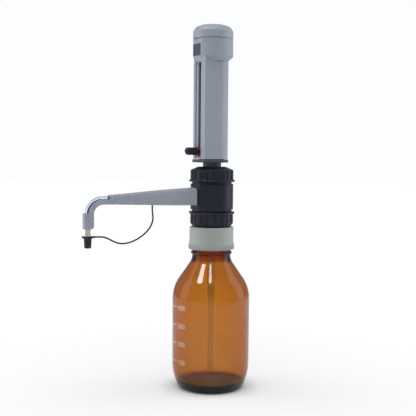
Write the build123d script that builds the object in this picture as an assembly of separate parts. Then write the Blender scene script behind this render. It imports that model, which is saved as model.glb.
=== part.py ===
from build123d import *
import math
import os

os.makedirs("parts", exist_ok=True)

# Bottle-top dispenser of the 10 ml class on a 500 ml amber bottle with a 45 mm neck.
# Units are millimetres. The origin is the centre of the bottle's foot, +Z is up and
# the discharge arm and the volume scale face -X.

# Bottle
bottle_radius = 43.0
bottle_height = 176.0
bottle_wall = 2.4
bottle_floor = 4.0
punt_height = 3.5
foot_ring_width = 6.0
heel_radius = 5.0
heel_sweep = 61.0
heel_top = 30.0
inner_heel_radius = 6.0
shoulder_radius = 41.6
shoulder_slope = 34.6
neck_blend = 15.8
neck_radius = 21.2
neck_length = 26.5
thread_root_radius = 20.9
mouth_radius = 16.0
bead_radius = 22.9
bead_height = 3.4
bead_drop = 22.3
rim_round = 1.0

# Clearances shared by the pieces
seat_gap = 0.3
thread_gap = 0.3
running_gap = 0.06
slip_gap = 0.1
press_gap = 0.05
seam_gap = 0.1

# Neck adapter with its knurled skirt
thread_crest_radius = 22.5
adapter_radius = 24.5
adapter_bead = 25.6
adapter_foot = 23.9
adapter_skirt = 20.5
adapter_top_wall = 4.5
adapter_edge = 1.0
knurl_count = 72
knurl_root = 24.95
adapter_bore = 11.5

# Ring nuts and the flanges that they clamp
nut_radius = 23.8
nut_rib_root = 22.7
nut_rib_count = 20
nut_rib_share = 0.56
nut_flange_radius = 25.3
nut_flange_height = 2.3
nut_shoulder_height = 3.6
lower_nut_face = 20.9
upper_nut_face = 15.6
spigot_radius = 17.0
spigot_length = 9.7
clamp_flange = 2.8
nut_lip = 3.7
neck_seal_height = 0.7
adapter_neck_radius = 14.6

# Valve block
block_radius = 23.7
block_height = 28.4
block_step_radius = 22.0
block_step_height = 2.1
block_edge = 0.5
outlet_height = 13.5
port_radius = 1.6

# Inlet valve and telescopic filling tube
inlet_radius = 7.9
inlet_depth = 8.0
inlet_head_drop = 6.0
inlet_stem_radius = 6.2
barb_radius = 3.3
barb_length = 13.0
inlet_ball_radius = 2.5
ball_room = 0.4
ball_lift = 1.2
seat_wall = 2.0
tube_wall = 0.9
upper_tube_length = 79.0
tube_overlap = 12.0
tube_floor_gap = 5.0

# Outlet valve and discharge tube
outlet_radius = 4.4
outlet_reach = 33.0
outlet_depth = 13.5
outlet_ball_radius = 1.8
outlet_lift = 1.0
outlet_port_radius = 1.2
hose_grip = 6.0
hose_radius = 3.05
hose_bore = 2.1

# Discharge arm
nozzle_reach = 144.0
bend_radius = 16.0
cover_end = 121.0
arm_root_width = 17.0
arm_tip_width = 9.4
arm_root_top = 10.6
arm_tip_top = 4.1
arm_root_depth = 8.2
arm_tip_depth = 5.7
arm_wall = 1.8
collar_width = 9.8
collar_corner = 3.2
collar_drop = 15.2

# Nozzle, its cap and the tether
nozzle_length = 24.5
nozzle_show = 7.6
nozzle_tip_radius = 2.3
nozzle_tip_length = 5.5
nozzle_reach_down = 9.0
nozzle_bore = 1.0
cap_flange_radius = 6.4
cap_flange_height = 1.9
cap_top_radius = 4.2
cap_foot_radius = 3.65
cap_length = 12.6
ear_reach = 8.4
ear_width = 3.4
tether_radius = 0.85
tether_reach = 71.4
tether_socket = 2.4

# Cylinder, sleeve and piston
bore_radius = 6.2
glass_wall = 1.7
sleeve_radius = 10.1
sleeve_wall = 1.7
cylinder_seat = 4.0
cylinder_seal_width = 1.5
cylinder_seal_height = 1.6
stroke = 84.0
piston_length = 21.5
piston_seal_height = 3.0
rod_radius = 3.0
rod_grip = 7.0
stop_ring_radius = 12.3
stop_ring_height = 3.4

# Pump housing
park_gap = 4.7
foot_height = 3.4
foot_gap = 0.5
foot_proud = 0.7
front_reach = 17.7
front_half = 10.2
side_reach = 16.35
side_half = 15.3
rear_reach = 17.3
rear_crown = 0.15
housing_bore = 13.4
pointer_offset = 8.5
slot_margin = 13.6
block_below_head = 1.5
head_radius = 22.15
head_flat = 19.6
head_chamfer = 4.5
head_height = 19.0
head_bore = 17.0
head_web = 4.0
front_corner = 1.2
cap_seam = 0.5
cap_wall_height = 8.1
cap_dome_height = 7.3
cap_dome_radius = 13.4
cap_crown = 0.8
cap_crown_flat = 5.0
cap_shell = 2.2

# Scale recess, slot, volume slide and window
channel_half = 7.3
channel_depth = 1.7
channel_foot = 1.6
slot_half = 3.5
rail_half = 5.3
rail_reach = 14.4
strip_inner = 3.9
strip_outer = 7.1
strip_thickness = 0.3
strip_foot_margin = 1.5
strip_top_margin = 3.5
window_half = 9.5
window_height = 13.2
window_corner = 1.5
window_depth = 0.9
window_proud = 0.2

# Pointer, slide block and lock knob
slide_half_height = 6.5
slide_inner_reach = 10.7
pointer_radius = 5.6
pointer_thickness = 1.2
screw_radius = 2.0
screw_grip = 9.0
knob_radius = 4.3
knob_root = 3.85
knob_flutes = 10
knob_length = 15.4

# Rod carrier, rod nut and vent plug
carrier_height = 4.0
rod_nut_radius = 5.2
rod_nut_height = 4.0
vent_radius = 3.0
vent_depth = 7.5
vent_head_radius = 4.6
vent_head_height = 2.4
vent_face_depth = 0.5

# Heights of the stack, from the bottle up
neck_start = bottle_height - neck_length
adapter_top = bottle_height + seat_gap + adapter_top_wall
adapter_bottom = adapter_top - adapter_top_wall - adapter_skirt
nut_height = spigot_length + seat_gap + clamp_flange + nut_lip
lower_nut_bottom = adapter_top + seat_gap
adapter_flange_bottom = lower_nut_bottom + nut_lip + seat_gap
adapter_flange_top = adapter_flange_bottom + clamp_flange - neck_seal_height
neck_seal_top = adapter_flange_top + neck_seal_height
lower_spigot_bottom = neck_seal_top + seat_gap
lower_step_bottom = lower_spigot_bottom + spigot_length
block_bottom = lower_step_bottom + block_step_height
block_top = block_bottom + block_height
upper_step_top = block_top + block_step_height
upper_nut_bottom = upper_step_top + seat_gap
spigot_top = upper_step_top + spigot_length
sleeve_foot = spigot_top + seat_gap
upper_nut_top = upper_nut_bottom + nut_height
outlet_z = block_bottom + outlet_height
foot_bottom = upper_nut_top + park_gap
foot_top = foot_bottom + foot_height
body_bottom = foot_top + foot_gap
pointer_z = body_bottom + pointer_offset
channel_top = pointer_z + stroke + slot_margin
body_top = channel_top + block_below_head
head_bottom = body_top + head_chamfer
head_top = head_bottom + head_height
cap_bottom = head_top + cap_seam
cap_wall_top = cap_bottom + cap_wall_height
cap_top = cap_wall_top + cap_dome_height
sleeve_top = pointer_z + slide_half_height + stroke + seat_gap + slip_gap
cylinder_foot = spigot_top - cylinder_seat
piston_foot = spigot_top + seat_gap
carrier_bottom = head_bottom + head_web
carrier_top = carrier_bottom + carrier_height
glass_radius = bore_radius + glass_wall
channel_floor = front_reach - channel_depth
strip_low = body_bottom + channel_foot + strip_foot_margin
strip_high = channel_top - strip_top_margin
vent_seat = block_radius - vent_face_depth


def turned(points):
    """Solid turned about the vertical axis from a closed outline of radius and height."""
    return revolve(Plane.XZ * make_face(Polyline(*points, close=True)), Axis.Z)


def disc(radius, bottom, top):
    """Round upright disc between two heights."""
    return Pos(0, 0, bottom) * Cylinder(radius, top - bottom, align=(Align.CENTER, Align.CENTER, Align.MIN))


def ring(outer, inner, bottom, top):
    """Upright tube between two heights."""
    return disc(outer, bottom, top) - disc(inner, bottom, top)


def block(x_low, x_high, half_width, bottom, top):
    """Upright box, as wide to +Y as to -Y."""
    size_x = x_high - x_low
    size_z = top - bottom
    middle = Pos((x_low + x_high) / 2, 0, (bottom + top) / 2)
    return middle * Box(size_x, 2 * half_width, size_z)


def rod_x(radius, x_low, x_high, height):
    """Round bar along X at a height above the origin."""
    turn = Rot(0, 90, 0)
    return Pos(x_low, 0, height) * turn * Cylinder(
        radius, x_high - x_low, align=(Align.CENTER, Align.CENTER, Align.MIN)
    )


def rod_y(radius, y_low, y_high):
    """Round bar along Y at the height of the outlet."""
    turn = Rot(-90, 0, 0)
    return Pos(0, y_low, outlet_z) * turn * Cylinder(
        radius, y_high - y_low, align=(Align.CENTER, Align.CENTER, Align.MIN)
    )


def toothed(count, crest, root, share):
    """Closed outline of a wheel with straight-sided teeth; share is how much of a pitch a crest takes."""
    pitch = 2 * math.pi / count
    points = []
    for tooth in range(count):
        for turn, radius in ((-share, root), (-0.8 * share, crest), (0.8 * share, crest), (share, root)):
            angle = pitch * (tooth + turn / 2)
            points.append((radius * math.cos(angle), radius * math.sin(angle)))
    return make_face(Polyline(*points, close=True))


def bottle_outline(body, neck, sweep, corner, floor, shoulder, blend):
    """Half outline of the bottle from its floor to the start of its neck.

    The heel is a corner arc tangent to the floor and to a wide sweep; the shoulder is an arc, a
    straight slope and a hollow arc, all tangent. Returns the edges and the last point.
    """
    slope = math.radians(shoulder_slope)
    sweep_x = body - sweep
    corner_z = floor + corner
    corner_x = sweep_x + math.sqrt((sweep - corner) ** 2 - (heel_top - corner_z) ** 2)
    lean = math.atan2(corner_z - heel_top, corner_x - sweep_x)
    heel_end = (sweep_x + sweep * math.cos(lean), heel_top + sweep * math.sin(lean))
    corner_turn = (lean - math.pi / 2) / 2
    heel_mid = (corner_x + corner * math.cos(corner_turn), corner_z + corner * math.sin(corner_turn))
    sweep_mid = (sweep_x + sweep * math.cos(lean / 2), heel_top + sweep * math.sin(lean / 2))
    slope_one = (body - shoulder * (1 - math.cos(slope)), shoulder_start + shoulder * math.sin(slope))
    shoulder_mid = (
        body - shoulder * (1 - math.cos(slope / 2)),
        shoulder_start + shoulder * math.sin(slope / 2),
    )
    slope_end_x = neck + blend * (1 - math.cos(slope))
    slope_end_z = slope_one[1] + (slope_one[0] - slope_end_x) / math.tan(slope)
    neck_z = slope_end_z + blend * math.sin(slope)
    blend_mid = (neck + blend * (1 - math.cos(slope / 2)), neck_z - blend * math.sin(slope / 2))
    edges = [
        ThreePointArc((corner_x, floor), heel_mid, heel_end),
        ThreePointArc(heel_end, sweep_mid, (body, heel_top)),
        Line((body, heel_top), (body, shoulder_start)),
        ThreePointArc((body, shoulder_start), shoulder_mid, slope_one),
        Line(slope_one, (slope_end_x, slope_end_z)),
        ThreePointArc((slope_end_x, slope_end_z), blend_mid, (neck, neck_z)),
    ]
    return edges, (corner_x, floor), (neck, neck_z)


def revolve_edges(edges):
    """Solid turned about the vertical axis from closed edges of radius and height."""
    return revolve(Plane.XZ * make_face(Curve() + edges), Axis.Z)


# Bottle: heel, punt, shoulder and neck turned as one glass wall
slope_angle = math.radians(shoulder_slope)
shoulder_run = (bottle_radius - neck_radius) - (shoulder_radius + neck_blend) * (1 - math.cos(slope_angle))
shoulder_rise = (shoulder_radius + neck_blend) * math.sin(slope_angle)
shoulder_start = neck_start - shoulder_rise - shoulder_run / math.tan(slope_angle)


def make_bottle():
    """Amber glass bottle, open at the mouth, standing on a ring round its punt."""
    outer, foot, neck_point = bottle_outline(
        bottle_radius, neck_radius, heel_sweep, heel_radius, 0.0, shoulder_radius, neck_blend
    )
    punt_radius = foot[0] - foot_ring_width
    punt_sphere = (punt_radius**2 + punt_height**2) / (2 * punt_height)
    half = punt_radius / 2
    punt_mid = punt_height - punt_sphere + math.sqrt(punt_sphere**2 - half**2)
    rim_low = bottle_height - rim_round
    outer += [
        Line(neck_point, (neck_radius, bottle_height - thread_gap)),
        Line((neck_radius, bottle_height - thread_gap), (0, bottle_height - thread_gap)),
        Line((0, bottle_height - thread_gap), (0, punt_height)),
        ThreePointArc((0, punt_height), (half, punt_mid), (punt_radius, 0)),
        Line((punt_radius, 0), foot),
    ]
    glass = revolve_edges(outer) & disc(bottle_radius + 1, 0, bottle_height - bead_drop)
    neck = turned(
        [
            (0, bottle_height - bead_drop - bead_height),
            (thread_root_radius, bottle_height - bead_drop - bead_height),
            (thread_root_radius, rim_low),
            (thread_root_radius - rim_round, bottle_height),
            (0, bottle_height),
        ]
    )
    bead_z = bottle_height - bead_drop - bead_height / 2
    bead = revolve_edges(
        [
            Line((mouth_radius, bead_z - bead_height / 2), (neck_radius, bead_z - bead_height / 2)),
            ThreePointArc(
                (neck_radius, bead_z - bead_height / 2),
                (bead_radius, bead_z),
                (neck_radius, bead_z + bead_height / 2),
            ),
            Line((neck_radius, bead_z + bead_height / 2), (mouth_radius, bead_z + bead_height / 2)),
            Line((mouth_radius, bead_z + bead_height / 2), (mouth_radius, bead_z - bead_height / 2)),
        ]
    )
    inside, floor_corner, mouth_point = bottle_outline(
        bottle_radius - bottle_wall,
        mouth_radius,
        heel_sweep - bottle_wall,
        inner_heel_radius,
        punt_height + bottle_floor,
        shoulder_radius - bottle_wall,
        neck_blend + bottle_wall,
    )
    lid = bottle_height + 1
    inside += [
        Line(mouth_point, (mouth_radius, lid)),
        Line((mouth_radius, lid), (0, lid)),
        Line((0, lid), (0, floor_corner[1])),
        Line((0, floor_corner[1]), floor_corner),
    ]
    return glass + neck + bead - revolve_edges(inside)


def make_adapter():
    """Grey-green adapter: threaded skirt with a knurled foot, top wall and clamped boss."""
    skirt_inner = thread_crest_radius + slip_gap
    ceiling = adapter_top - adapter_top_wall
    bead_low = adapter_bottom + 1.6
    bead_high = adapter_bottom + 7.0
    outside = turned(
        [
            (0, adapter_bottom),
            (adapter_foot, adapter_bottom),
            (adapter_bead - 0.5, adapter_bottom + 0.7),
            (adapter_bead, bead_low),
            (adapter_bead, bead_low + 2.4),
            (adapter_bead - 0.5, bead_high - 1.2),
            (adapter_radius, bead_high + 2.0),
            (adapter_radius, adapter_top - adapter_edge),
            (adapter_radius - 0.3 * adapter_edge, adapter_top - 0.3 * adapter_edge),
            (adapter_radius - adapter_edge, adapter_top),
            (0, adapter_top),
        ]
    )
    knurls = Pos(0, 0, adapter_bottom) * extrude(
        toothed(knurl_count, adapter_bead + 0.4, knurl_root, 0.62), adapter_top - adapter_bottom
    )
    neck = disc(adapter_neck_radius, adapter_top - 1, adapter_flange_top)
    flange = disc(spigot_radius - slip_gap, adapter_flange_bottom, adapter_flange_top)
    bore = disc(adapter_bore, ceiling - 1, adapter_flange_top + 1)
    return (outside & knurls) + neck + flange - disc(skirt_inner, adapter_bottom - 1, ceiling) - bore


def make_ring_nut(lip_radius, face_radius):
    """Ribbed ring nut standing on its flange, with its clamping lip at the top."""
    top = nut_height
    ribs = turned(
        [
            (0, 0),
            (nut_radius, 0),
            (nut_radius, top - nut_shoulder_height),
            (face_radius, top),
            (0, top),
        ]
    ) & extrude(toothed(nut_rib_count, nut_radius + 0.5, nut_rib_root, nut_rib_share), top)
    edge = 0.4
    flange = turned(
        [
            (0, 0),
            (nut_flange_radius - edge, 0),
            (nut_flange_radius, edge),
            (nut_flange_radius, nut_flange_height - edge),
            (nut_flange_radius - edge, nut_flange_height),
            (0, nut_flange_height),
        ]
    )
    thread = disc(spigot_radius + thread_gap, -1, top - nut_lip)
    return ribs + flange - thread - disc(lip_radius, -1, top + 1)


def make_valve_block():
    """Navy valve block: a drum between two stepped, threaded spigots, bored for valves and cylinder."""
    drum = turned(
        [
            (0, lower_spigot_bottom),
            (spigot_radius, lower_spigot_bottom),
            (spigot_radius, lower_step_bottom),
            (block_step_radius, lower_step_bottom),
            (block_step_radius, block_bottom),
            (block_radius - block_edge, block_bottom),
            (block_radius, block_bottom + block_edge),
            (block_radius, block_top - block_edge),
            (block_radius - block_edge, block_top),
            (block_step_radius, block_top),
            (block_step_radius, upper_step_top),
            (spigot_radius, upper_step_top),
            (spigot_radius, spigot_top),
            (0, spigot_top),
        ]
    )
    inlet_bore = disc(inlet_radius + slip_gap, lower_spigot_bottom - 1, block_bottom + inlet_depth)
    chamber = disc(port_radius, block_bottom, spigot_top)
    seat = disc(glass_radius + slip_gap, cylinder_foot, spigot_top + 1)
    seal_seat = disc(
        glass_radius + cylinder_seal_width + 2 * slip_gap, spigot_top - cylinder_seal_height, spigot_top + 1
    )
    outlet_bore = rod_x(outlet_radius + slip_gap, -block_radius - 1, outlet_depth - block_radius, outlet_z)
    outlet_port = rod_x(port_radius, -block_radius, 0, outlet_z)
    vent_reach = (inlet_radius + adapter_bore) / 2 + port_radius / 2
    vent_face = rod_y(vent_head_radius + seat_gap, vent_seat, block_radius + 1)
    vent_bore = rod_y(vent_radius + slip_gap, vent_seat - vent_depth, block_radius + 1)
    vent_across = rod_y(port_radius / 2, vent_reach, block_radius)
    vent_down = Pos(0, vent_reach, 0) * disc(port_radius / 2, lower_spigot_bottom - 1, outlet_z)
    cuts = inlet_bore + chamber + seat + seal_seat + outlet_bore + outlet_port
    return drum - cuts - vent_face - vent_bore - vent_down - vent_across


inlet_top = block_bottom + inlet_depth - slip_gap
inlet_seat_z = lower_spigot_bottom + seat_wall
ball_chamber = inlet_ball_radius + ball_room
inlet_ball_z = inlet_seat_z + math.sqrt(inlet_ball_radius**2 - port_radius**2) + press_gap
barb_top = lower_spigot_bottom - inlet_head_drop
barb_foot = barb_top - barb_length


def make_inlet_valve():
    """Inlet valve cage: ball chamber over a seat, with the barb for the filling tube below."""
    outside = turned(
        [
            (0, barb_foot),
            (barb_radius - 0.5, barb_foot),
            (barb_radius, barb_foot + 1.5),
            (barb_radius, barb_top),
            (inlet_stem_radius, barb_top),
            (inlet_stem_radius, lower_spigot_bottom - 1.5),
            (inlet_radius, lower_spigot_bottom),
            (inlet_radius, inlet_top),
            (0, inlet_top),
        ]
    )
    chamber_top = inlet_ball_z + inlet_ball_radius + ball_lift + ball_room
    chamber = disc(ball_chamber, inlet_seat_z, chamber_top)
    return outside - chamber - disc(port_radius, barb_foot - 1, inlet_top + 1)


hose_start = outlet_reach - hose_grip
outlet_inner_end = outlet_depth - block_radius - slip_gap
outlet_seat_x = outlet_inner_end - seat_wall
outlet_ball_x = outlet_seat_x - math.sqrt(outlet_ball_radius**2 - outlet_port_radius**2) - press_gap


def make_outlet_valve():
    """Outlet valve cage lying in the block's outlet bore and reaching into the arm."""
    body = rod_x(outlet_radius, -outlet_reach, outlet_inner_end, outlet_z)
    room = outlet_ball_radius + ball_room
    chamber_end = outlet_ball_x - outlet_ball_radius - outlet_lift - ball_room
    chamber = rod_x(room, chamber_end, outlet_seat_x, outlet_z)
    port = rod_x(outlet_port_radius, -outlet_reach - 1, outlet_inner_end + 1, outlet_z)
    socket = rod_x(hose_radius + press_gap, -outlet_reach - 1, -hose_start, outlet_z)
    return body - chamber - port - socket


def arm_section(reach, share):
    """Arm section at a distance from the axis: flat foot, upright sides and round top corners."""
    width = arm_root_width + (arm_tip_width - arm_root_width) * share
    drop = 4 * share * (1 - share)
    high = arm_root_top + (arm_tip_top - arm_root_top) * share + 1.1 * drop * (1 - share)
    low = -arm_root_depth + (arm_root_depth - arm_tip_depth) * share - 0.5 * drop * (1 - share)
    return width, high, low


def arm_loft(inset):
    """Tapering arm from the valve block to the end of its cover, every wall moved in by the inset."""
    stations = 5
    root_reach = block_radius - 3.0
    faces = []
    for station in range(stations):
        share = station / (stations - 1)
        reach = root_reach + (cover_end - root_reach) * share
        width, high, low = arm_section(reach, share)
        half = width / 2 - inset
        top = high - inset
        foot = low + inset
        corner = 0.55 * (half if top > half else top)
        outline = Curve() + [
            Line((-half, foot), (half, foot)),
            Line((half, foot), (half, top - corner)),
            ThreePointArc(
                (half, top - corner),
                (half - corner * (1 - math.sqrt(0.5)), top - corner * (1 - math.sqrt(0.5))),
                (half - corner, top),
            ),
            Line((half - corner, top), (-half + corner, top)),
            ThreePointArc(
                (-half + corner, top),
                (-half + corner * (1 - math.sqrt(0.5)), top - corner * (1 - math.sqrt(0.5))),
                (-half, top - corner),
            ),
            Line((-half, top - corner), (-half, foot)),
        ]
        plane = Plane(origin=(-reach, 0, outlet_z), x_dir=(0, 1, 0), z_dir=(1, 0, 0))
        faces.append(plane * make_face(outline))
    return loft(faces)


bend_x = -(nozzle_reach - bend_radius)
bend_z = outlet_z - bend_radius
collar_top = bend_z + 1.0
collar_bottom = outlet_z - bend_radius - collar_drop
cap_top_z = collar_bottom - nozzle_show
nozzle_tip = cap_top_z - nozzle_reach_down
tether_top = outlet_z - hose_radius - tether_socket


def hose_solid(radius):
    """Round bar along the hose's route: level through the arm, round the bend and down to the nozzle."""
    path = Curve() + [
        Line((-hose_start, 0, outlet_z), (bend_x, 0, outlet_z)),
        ThreePointArc(
            (bend_x, 0, outlet_z),
            (bend_x - bend_radius * math.sqrt(0.5), 0, bend_z + bend_radius * math.sqrt(0.5)),
            (-nozzle_reach, 0, bend_z),
        ),
        Line((-nozzle_reach, 0, bend_z), (-nozzle_reach, 0, hose_end_z)),
    ]
    start = Plane(origin=(-hose_start, 0, outlet_z), z_dir=(-1, 0, 0))
    return sweep(start * Circle(radius), path=path)


nozzle_top = nozzle_tip + nozzle_length
hose_end_z = nozzle_top + seat_gap


def make_arm_body():
    """Lower half of the arm: closed root, open channel round the bend, and the nozzle collar."""
    channel = arm_tip_depth
    lower = arm_loft(0.0) & block(-cover_end - 1, 0, arm_root_width, outlet_z - 30, outlet_z)
    inner = bend_radius - channel
    bend = Curve() + [
        Line((-cover_end + 0.5, outlet_z), (bend_x, outlet_z)),
        ThreePointArc(
            (bend_x, outlet_z),
            (bend_x - bend_radius * math.sqrt(0.5), bend_z + bend_radius * math.sqrt(0.5)),
            (-nozzle_reach, bend_z),
        ),
        Line((-nozzle_reach, bend_z), (-nozzle_reach, collar_bottom + 2)),
        Line((-nozzle_reach, collar_bottom + 2), (-nozzle_reach + channel, collar_bottom + 2)),
        Line((-nozzle_reach + channel, collar_bottom + 2), (-nozzle_reach + channel, bend_z)),
        ThreePointArc(
            (-nozzle_reach + channel, bend_z),
            (bend_x - inner * math.sqrt(0.5), bend_z + inner * math.sqrt(0.5)),
            (bend_x, bend_z + inner),
        ),
        Line((bend_x, bend_z + inner), (-cover_end + 0.5, outlet_z - channel)),
        Line((-cover_end + 0.5, outlet_z - channel), (-cover_end + 0.5, outlet_z)),
    ]
    web = extrude(Plane.XZ * make_face(bend), arm_tip_width / 2, both=True)
    collar = Pos(-nozzle_reach, 0, collar_bottom) * extrude(
        RectangleRounded(collar_width, collar_width, collar_corner), collar_top - collar_bottom
    )
    hose_groove = hose_solid(hose_radius + slip_gap)
    nozzle_hole = disc(hose_radius + slip_gap, collar_bottom - 1, hose_end_z + 1)
    valve_room = rod_x(outlet_radius + slip_gap, -outlet_reach - seat_gap, 0, outlet_z)
    drum = disc(block_radius + press_gap, block_bottom - 5, block_top + 5)
    socket = Pos(-tether_reach, 0, 0) * disc(tether_radius + slip_gap, collar_bottom, tether_top)
    hollows = hose_groove + Pos(-nozzle_reach, 0, 0) * nozzle_hole + valve_room
    return lower + web + collar - hollows - drum - socket


def make_arm_cover():
    """Upper half of the arm: a thin-walled lid over the hose, open at the block and at the bend."""
    upper = block(-cover_end - 1, 0, arm_root_width, outlet_z + press_gap, outlet_z + 30)
    shell = arm_loft(0.0) & upper
    hollow = arm_loft(arm_wall) & block(-cover_end + 6, 0, arm_root_width, outlet_z - 1, outlet_z + 30)
    drum = disc(block_radius + press_gap, block_bottom - 5, block_top + 5)
    hose_groove = rod_x(hose_radius + slip_gap, -cover_end - 2, -hose_start, outlet_z)
    valve_room = rod_x(outlet_radius + slip_gap, -outlet_reach - seat_gap, 0, outlet_z)
    return shell - hollow - drum - hose_groove - valve_room


def make_hose():
    """Clear discharge hose from the outlet valve to the nozzle."""
    return hose_solid(hose_radius) - hose_solid(hose_bore)




def make_nozzle():
    """Nozzle: straight tube in the collar with a thinner tip."""
    shoulder = nozzle_tip + nozzle_tip_length
    return Pos(-nozzle_reach, 0, 0) * turned(
        [
            (nozzle_bore, nozzle_tip),
            (nozzle_tip_radius, nozzle_tip),
            (nozzle_tip_radius, shoulder),
            (hose_radius, shoulder + 0.7),
            (hose_radius, nozzle_top),
            (nozzle_bore, nozzle_top),
        ]
    )


def make_nozzle_cap():
    """Soft nozzle cap: flange with a tether ear and a tapered body with a round end."""
    flange_low = cap_top_z - cap_flange_height
    foot = cap_top_z - cap_length
    bore = hose_radius + running_gap
    tip_bore = nozzle_tip_radius + running_gap
    shoulder = nozzle_tip + nozzle_tip_length - seat_gap
    body = turned(
        [
            (0, foot),
            (cap_foot_radius - 1.2, foot),
            (cap_foot_radius - 0.35, foot + 0.35),
            (cap_foot_radius, foot + 1.2),
            (cap_top_radius, flange_low),
            (cap_flange_radius - 0.3, flange_low),
            (cap_flange_radius, flange_low + 0.3),
            (cap_flange_radius, cap_top_z - 0.3),
            (cap_flange_radius - 0.3, cap_top_z),
            (0, cap_top_z),
        ]
    )
    ear_size = ear_reach - cap_top_radius
    ear = Pos(cap_top_radius + ear_size / 2, 0, cap_top_z - cap_flange_height / 2) * Box(
        ear_size, ear_width, cap_flange_height
    )
    hollow = turned(
        [
            (0, nozzle_tip - seat_gap),
            (tip_bore, nozzle_tip - seat_gap),
            (tip_bore, shoulder),
            (bore, shoulder + 0.7),
            (bore, cap_top_z + 1),
            (0, cap_top_z + 1),
        ]
    )
    return Pos(-nozzle_reach, 0, 0) * (body + ear - hollow)


def tether_points():
    """Route of the tether from its socket under the arm to the ear of the nozzle cap."""
    return [
        (-tether_reach, tether_top),
        (-tether_reach, 199.2),
        (-70.0, 190.6),
        (-73.4, 181.9),
        (-80.6, 174.6),
        (-90.0, 168.8),
        (-100.2, 165.6),
        (-109.6, 165.6),
        (-117.6, 169.4),
        (-124.6, 173.0),
        (-130.4, cap_top_z - cap_flange_height / 2),
        (ear_reach - nozzle_reach, cap_top_z - cap_flange_height / 2),
    ]


def make_tether():
    """Tether cord: straight runs joined by the largest arcs that the runs allow."""
    points = tether_points()
    radii = []
    for before, here, after in zip(points, points[1:], points[2:]):
        run_in = Vector(here[0] - before[0], here[1] - before[1])
        run_out = Vector(after[0] - here[0], after[1] - here[1])
        turn = math.radians(run_in.get_angle(run_out))
        radii.append(0.45 * min(run_in.length, run_out.length) / math.tan(turn / 2))
    path = FilletPolyline(*[(x, 0, z) for x, z in points], radius=radii)
    start = Plane(origin=path @ 0, z_dir=path % 0)
    cord = sweep(start * Circle(tether_radius), path=path)
    ratio = cord.volume / (math.pi * tether_radius**2 * path.length)
    print("tether: radii", [round(radius, 1) for radius in radii])
    print("tether: length", round(path.length, 2), "volume against section times length", round(ratio, 6))
    return cord


def make_sleeve():
    """Grey guide sleeve with the foot that the upper ring nut clamps."""
    inner = sleeve_radius - sleeve_wall
    return turned(
        [
            (inner, sleeve_foot),
            (spigot_radius - slip_gap, sleeve_foot),
            (spigot_radius - slip_gap, sleeve_foot + clamp_flange),
            (sleeve_radius, sleeve_foot + clamp_flange),
            (sleeve_radius, sleeve_top),
            (inner, sleeve_top),
        ]
    )


def make_stop_ring():
    """Stop ring on the sleeve: the slide block comes up against it at the end of the stroke."""
    spigot_low = sleeve_top - 2.4
    return turned(
        [
            (rod_radius + seat_gap, spigot_low),
            (sleeve_radius - sleeve_wall - slip_gap, spigot_low),
            (sleeve_radius - sleeve_wall - slip_gap, sleeve_top),
            (stop_ring_radius, sleeve_top),
            (stop_ring_radius, sleeve_top + stop_ring_height),
            (rod_radius + seat_gap, sleeve_top + stop_ring_height),
        ]
    )


def make_glass_cylinder():
    """Glass measuring cylinder standing in the valve block."""
    return ring(glass_radius, bore_radius, cylinder_foot, sleeve_top - 2.4 - seat_gap)


def make_cylinder_seal():
    """Seal ring round the foot of the glass cylinder."""
    inner = glass_radius + slip_gap
    return ring(inner + cylinder_seal_width, inner, spigot_top - cylinder_seal_height, spigot_top)


seal_low = piston_foot + 3.0


def make_piston():
    """Piston plunger with a seal groove and a socket for the rod."""
    radius = bore_radius - 0.2
    groove = radius - 1.2
    top = piston_foot + piston_length
    socket = rod_radius + press_gap
    return turned(
        [
            (0, piston_foot),
            (radius - 0.8, piston_foot),
            (radius, piston_foot + 0.8),
            (radius, seal_low),
            (groove, seal_low),
            (groove, seal_low + piston_seal_height),
            (radius, seal_low + piston_seal_height),
            (radius, top - 0.5),
            (radius - 0.5, top),
            (socket, top),
            (socket, top - rod_grip),
            (0, top - rod_grip),
        ]
    )


def make_piston_seal():
    """Piston seal, a running fit in the glass bore."""
    inner = bore_radius - 1.4 + press_gap
    return ring(
        bore_radius - running_gap, inner, seal_low + press_gap, seal_low + piston_seal_height - press_gap
    )


def housing_outline(grow):
    """Plan of the pump housing: flat front, slanted corners, flat sides and a round back."""
    radius = side_half + rear_crown + grow
    centre = rear_reach - side_half - rear_crown
    half = side_half + grow
    side_end = centre + math.sqrt(radius**2 - half**2)
    front = front_reach + grow
    slant = side_reach + grow
    face = make_face(
        Curve()
        + [
            Line((-front, -front_half), (-slant, -half)),
            Line((-slant, -half), (side_end, -half)),
            ThreePointArc((side_end, -half), (centre + radius, 0), (side_end, half)),
            Line((side_end, half), (-slant, half)),
            Line((-slant, half), (-front, front_half)),
            Line((-front, front_half), (-front, -front_half)),
        ]
    )
    corners = [corner for corner in face.vertices() if corner.X < -front + front_corner]
    return fillet(corners, front_corner)


def make_housing_hull():
    """Whole outside of the pump housing, body and head, before it is hollowed and split."""
    body = Pos(0, 0, body_bottom) * extrude(housing_outline(0.0), head_bottom + 1 - body_bottom)
    head = turned(
        [
            (0, body_top - 1),
            (rear_reach, body_top - 1),
            (rear_reach, body_top),
            (head_radius, head_bottom),
            (head_radius, head_top),
            (0, head_top),
        ]
    )
    flat = block(-head_flat, head_radius + 1, head_radius + 1, body_bottom, head_top + 1)
    return body + (head & flat)


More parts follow.
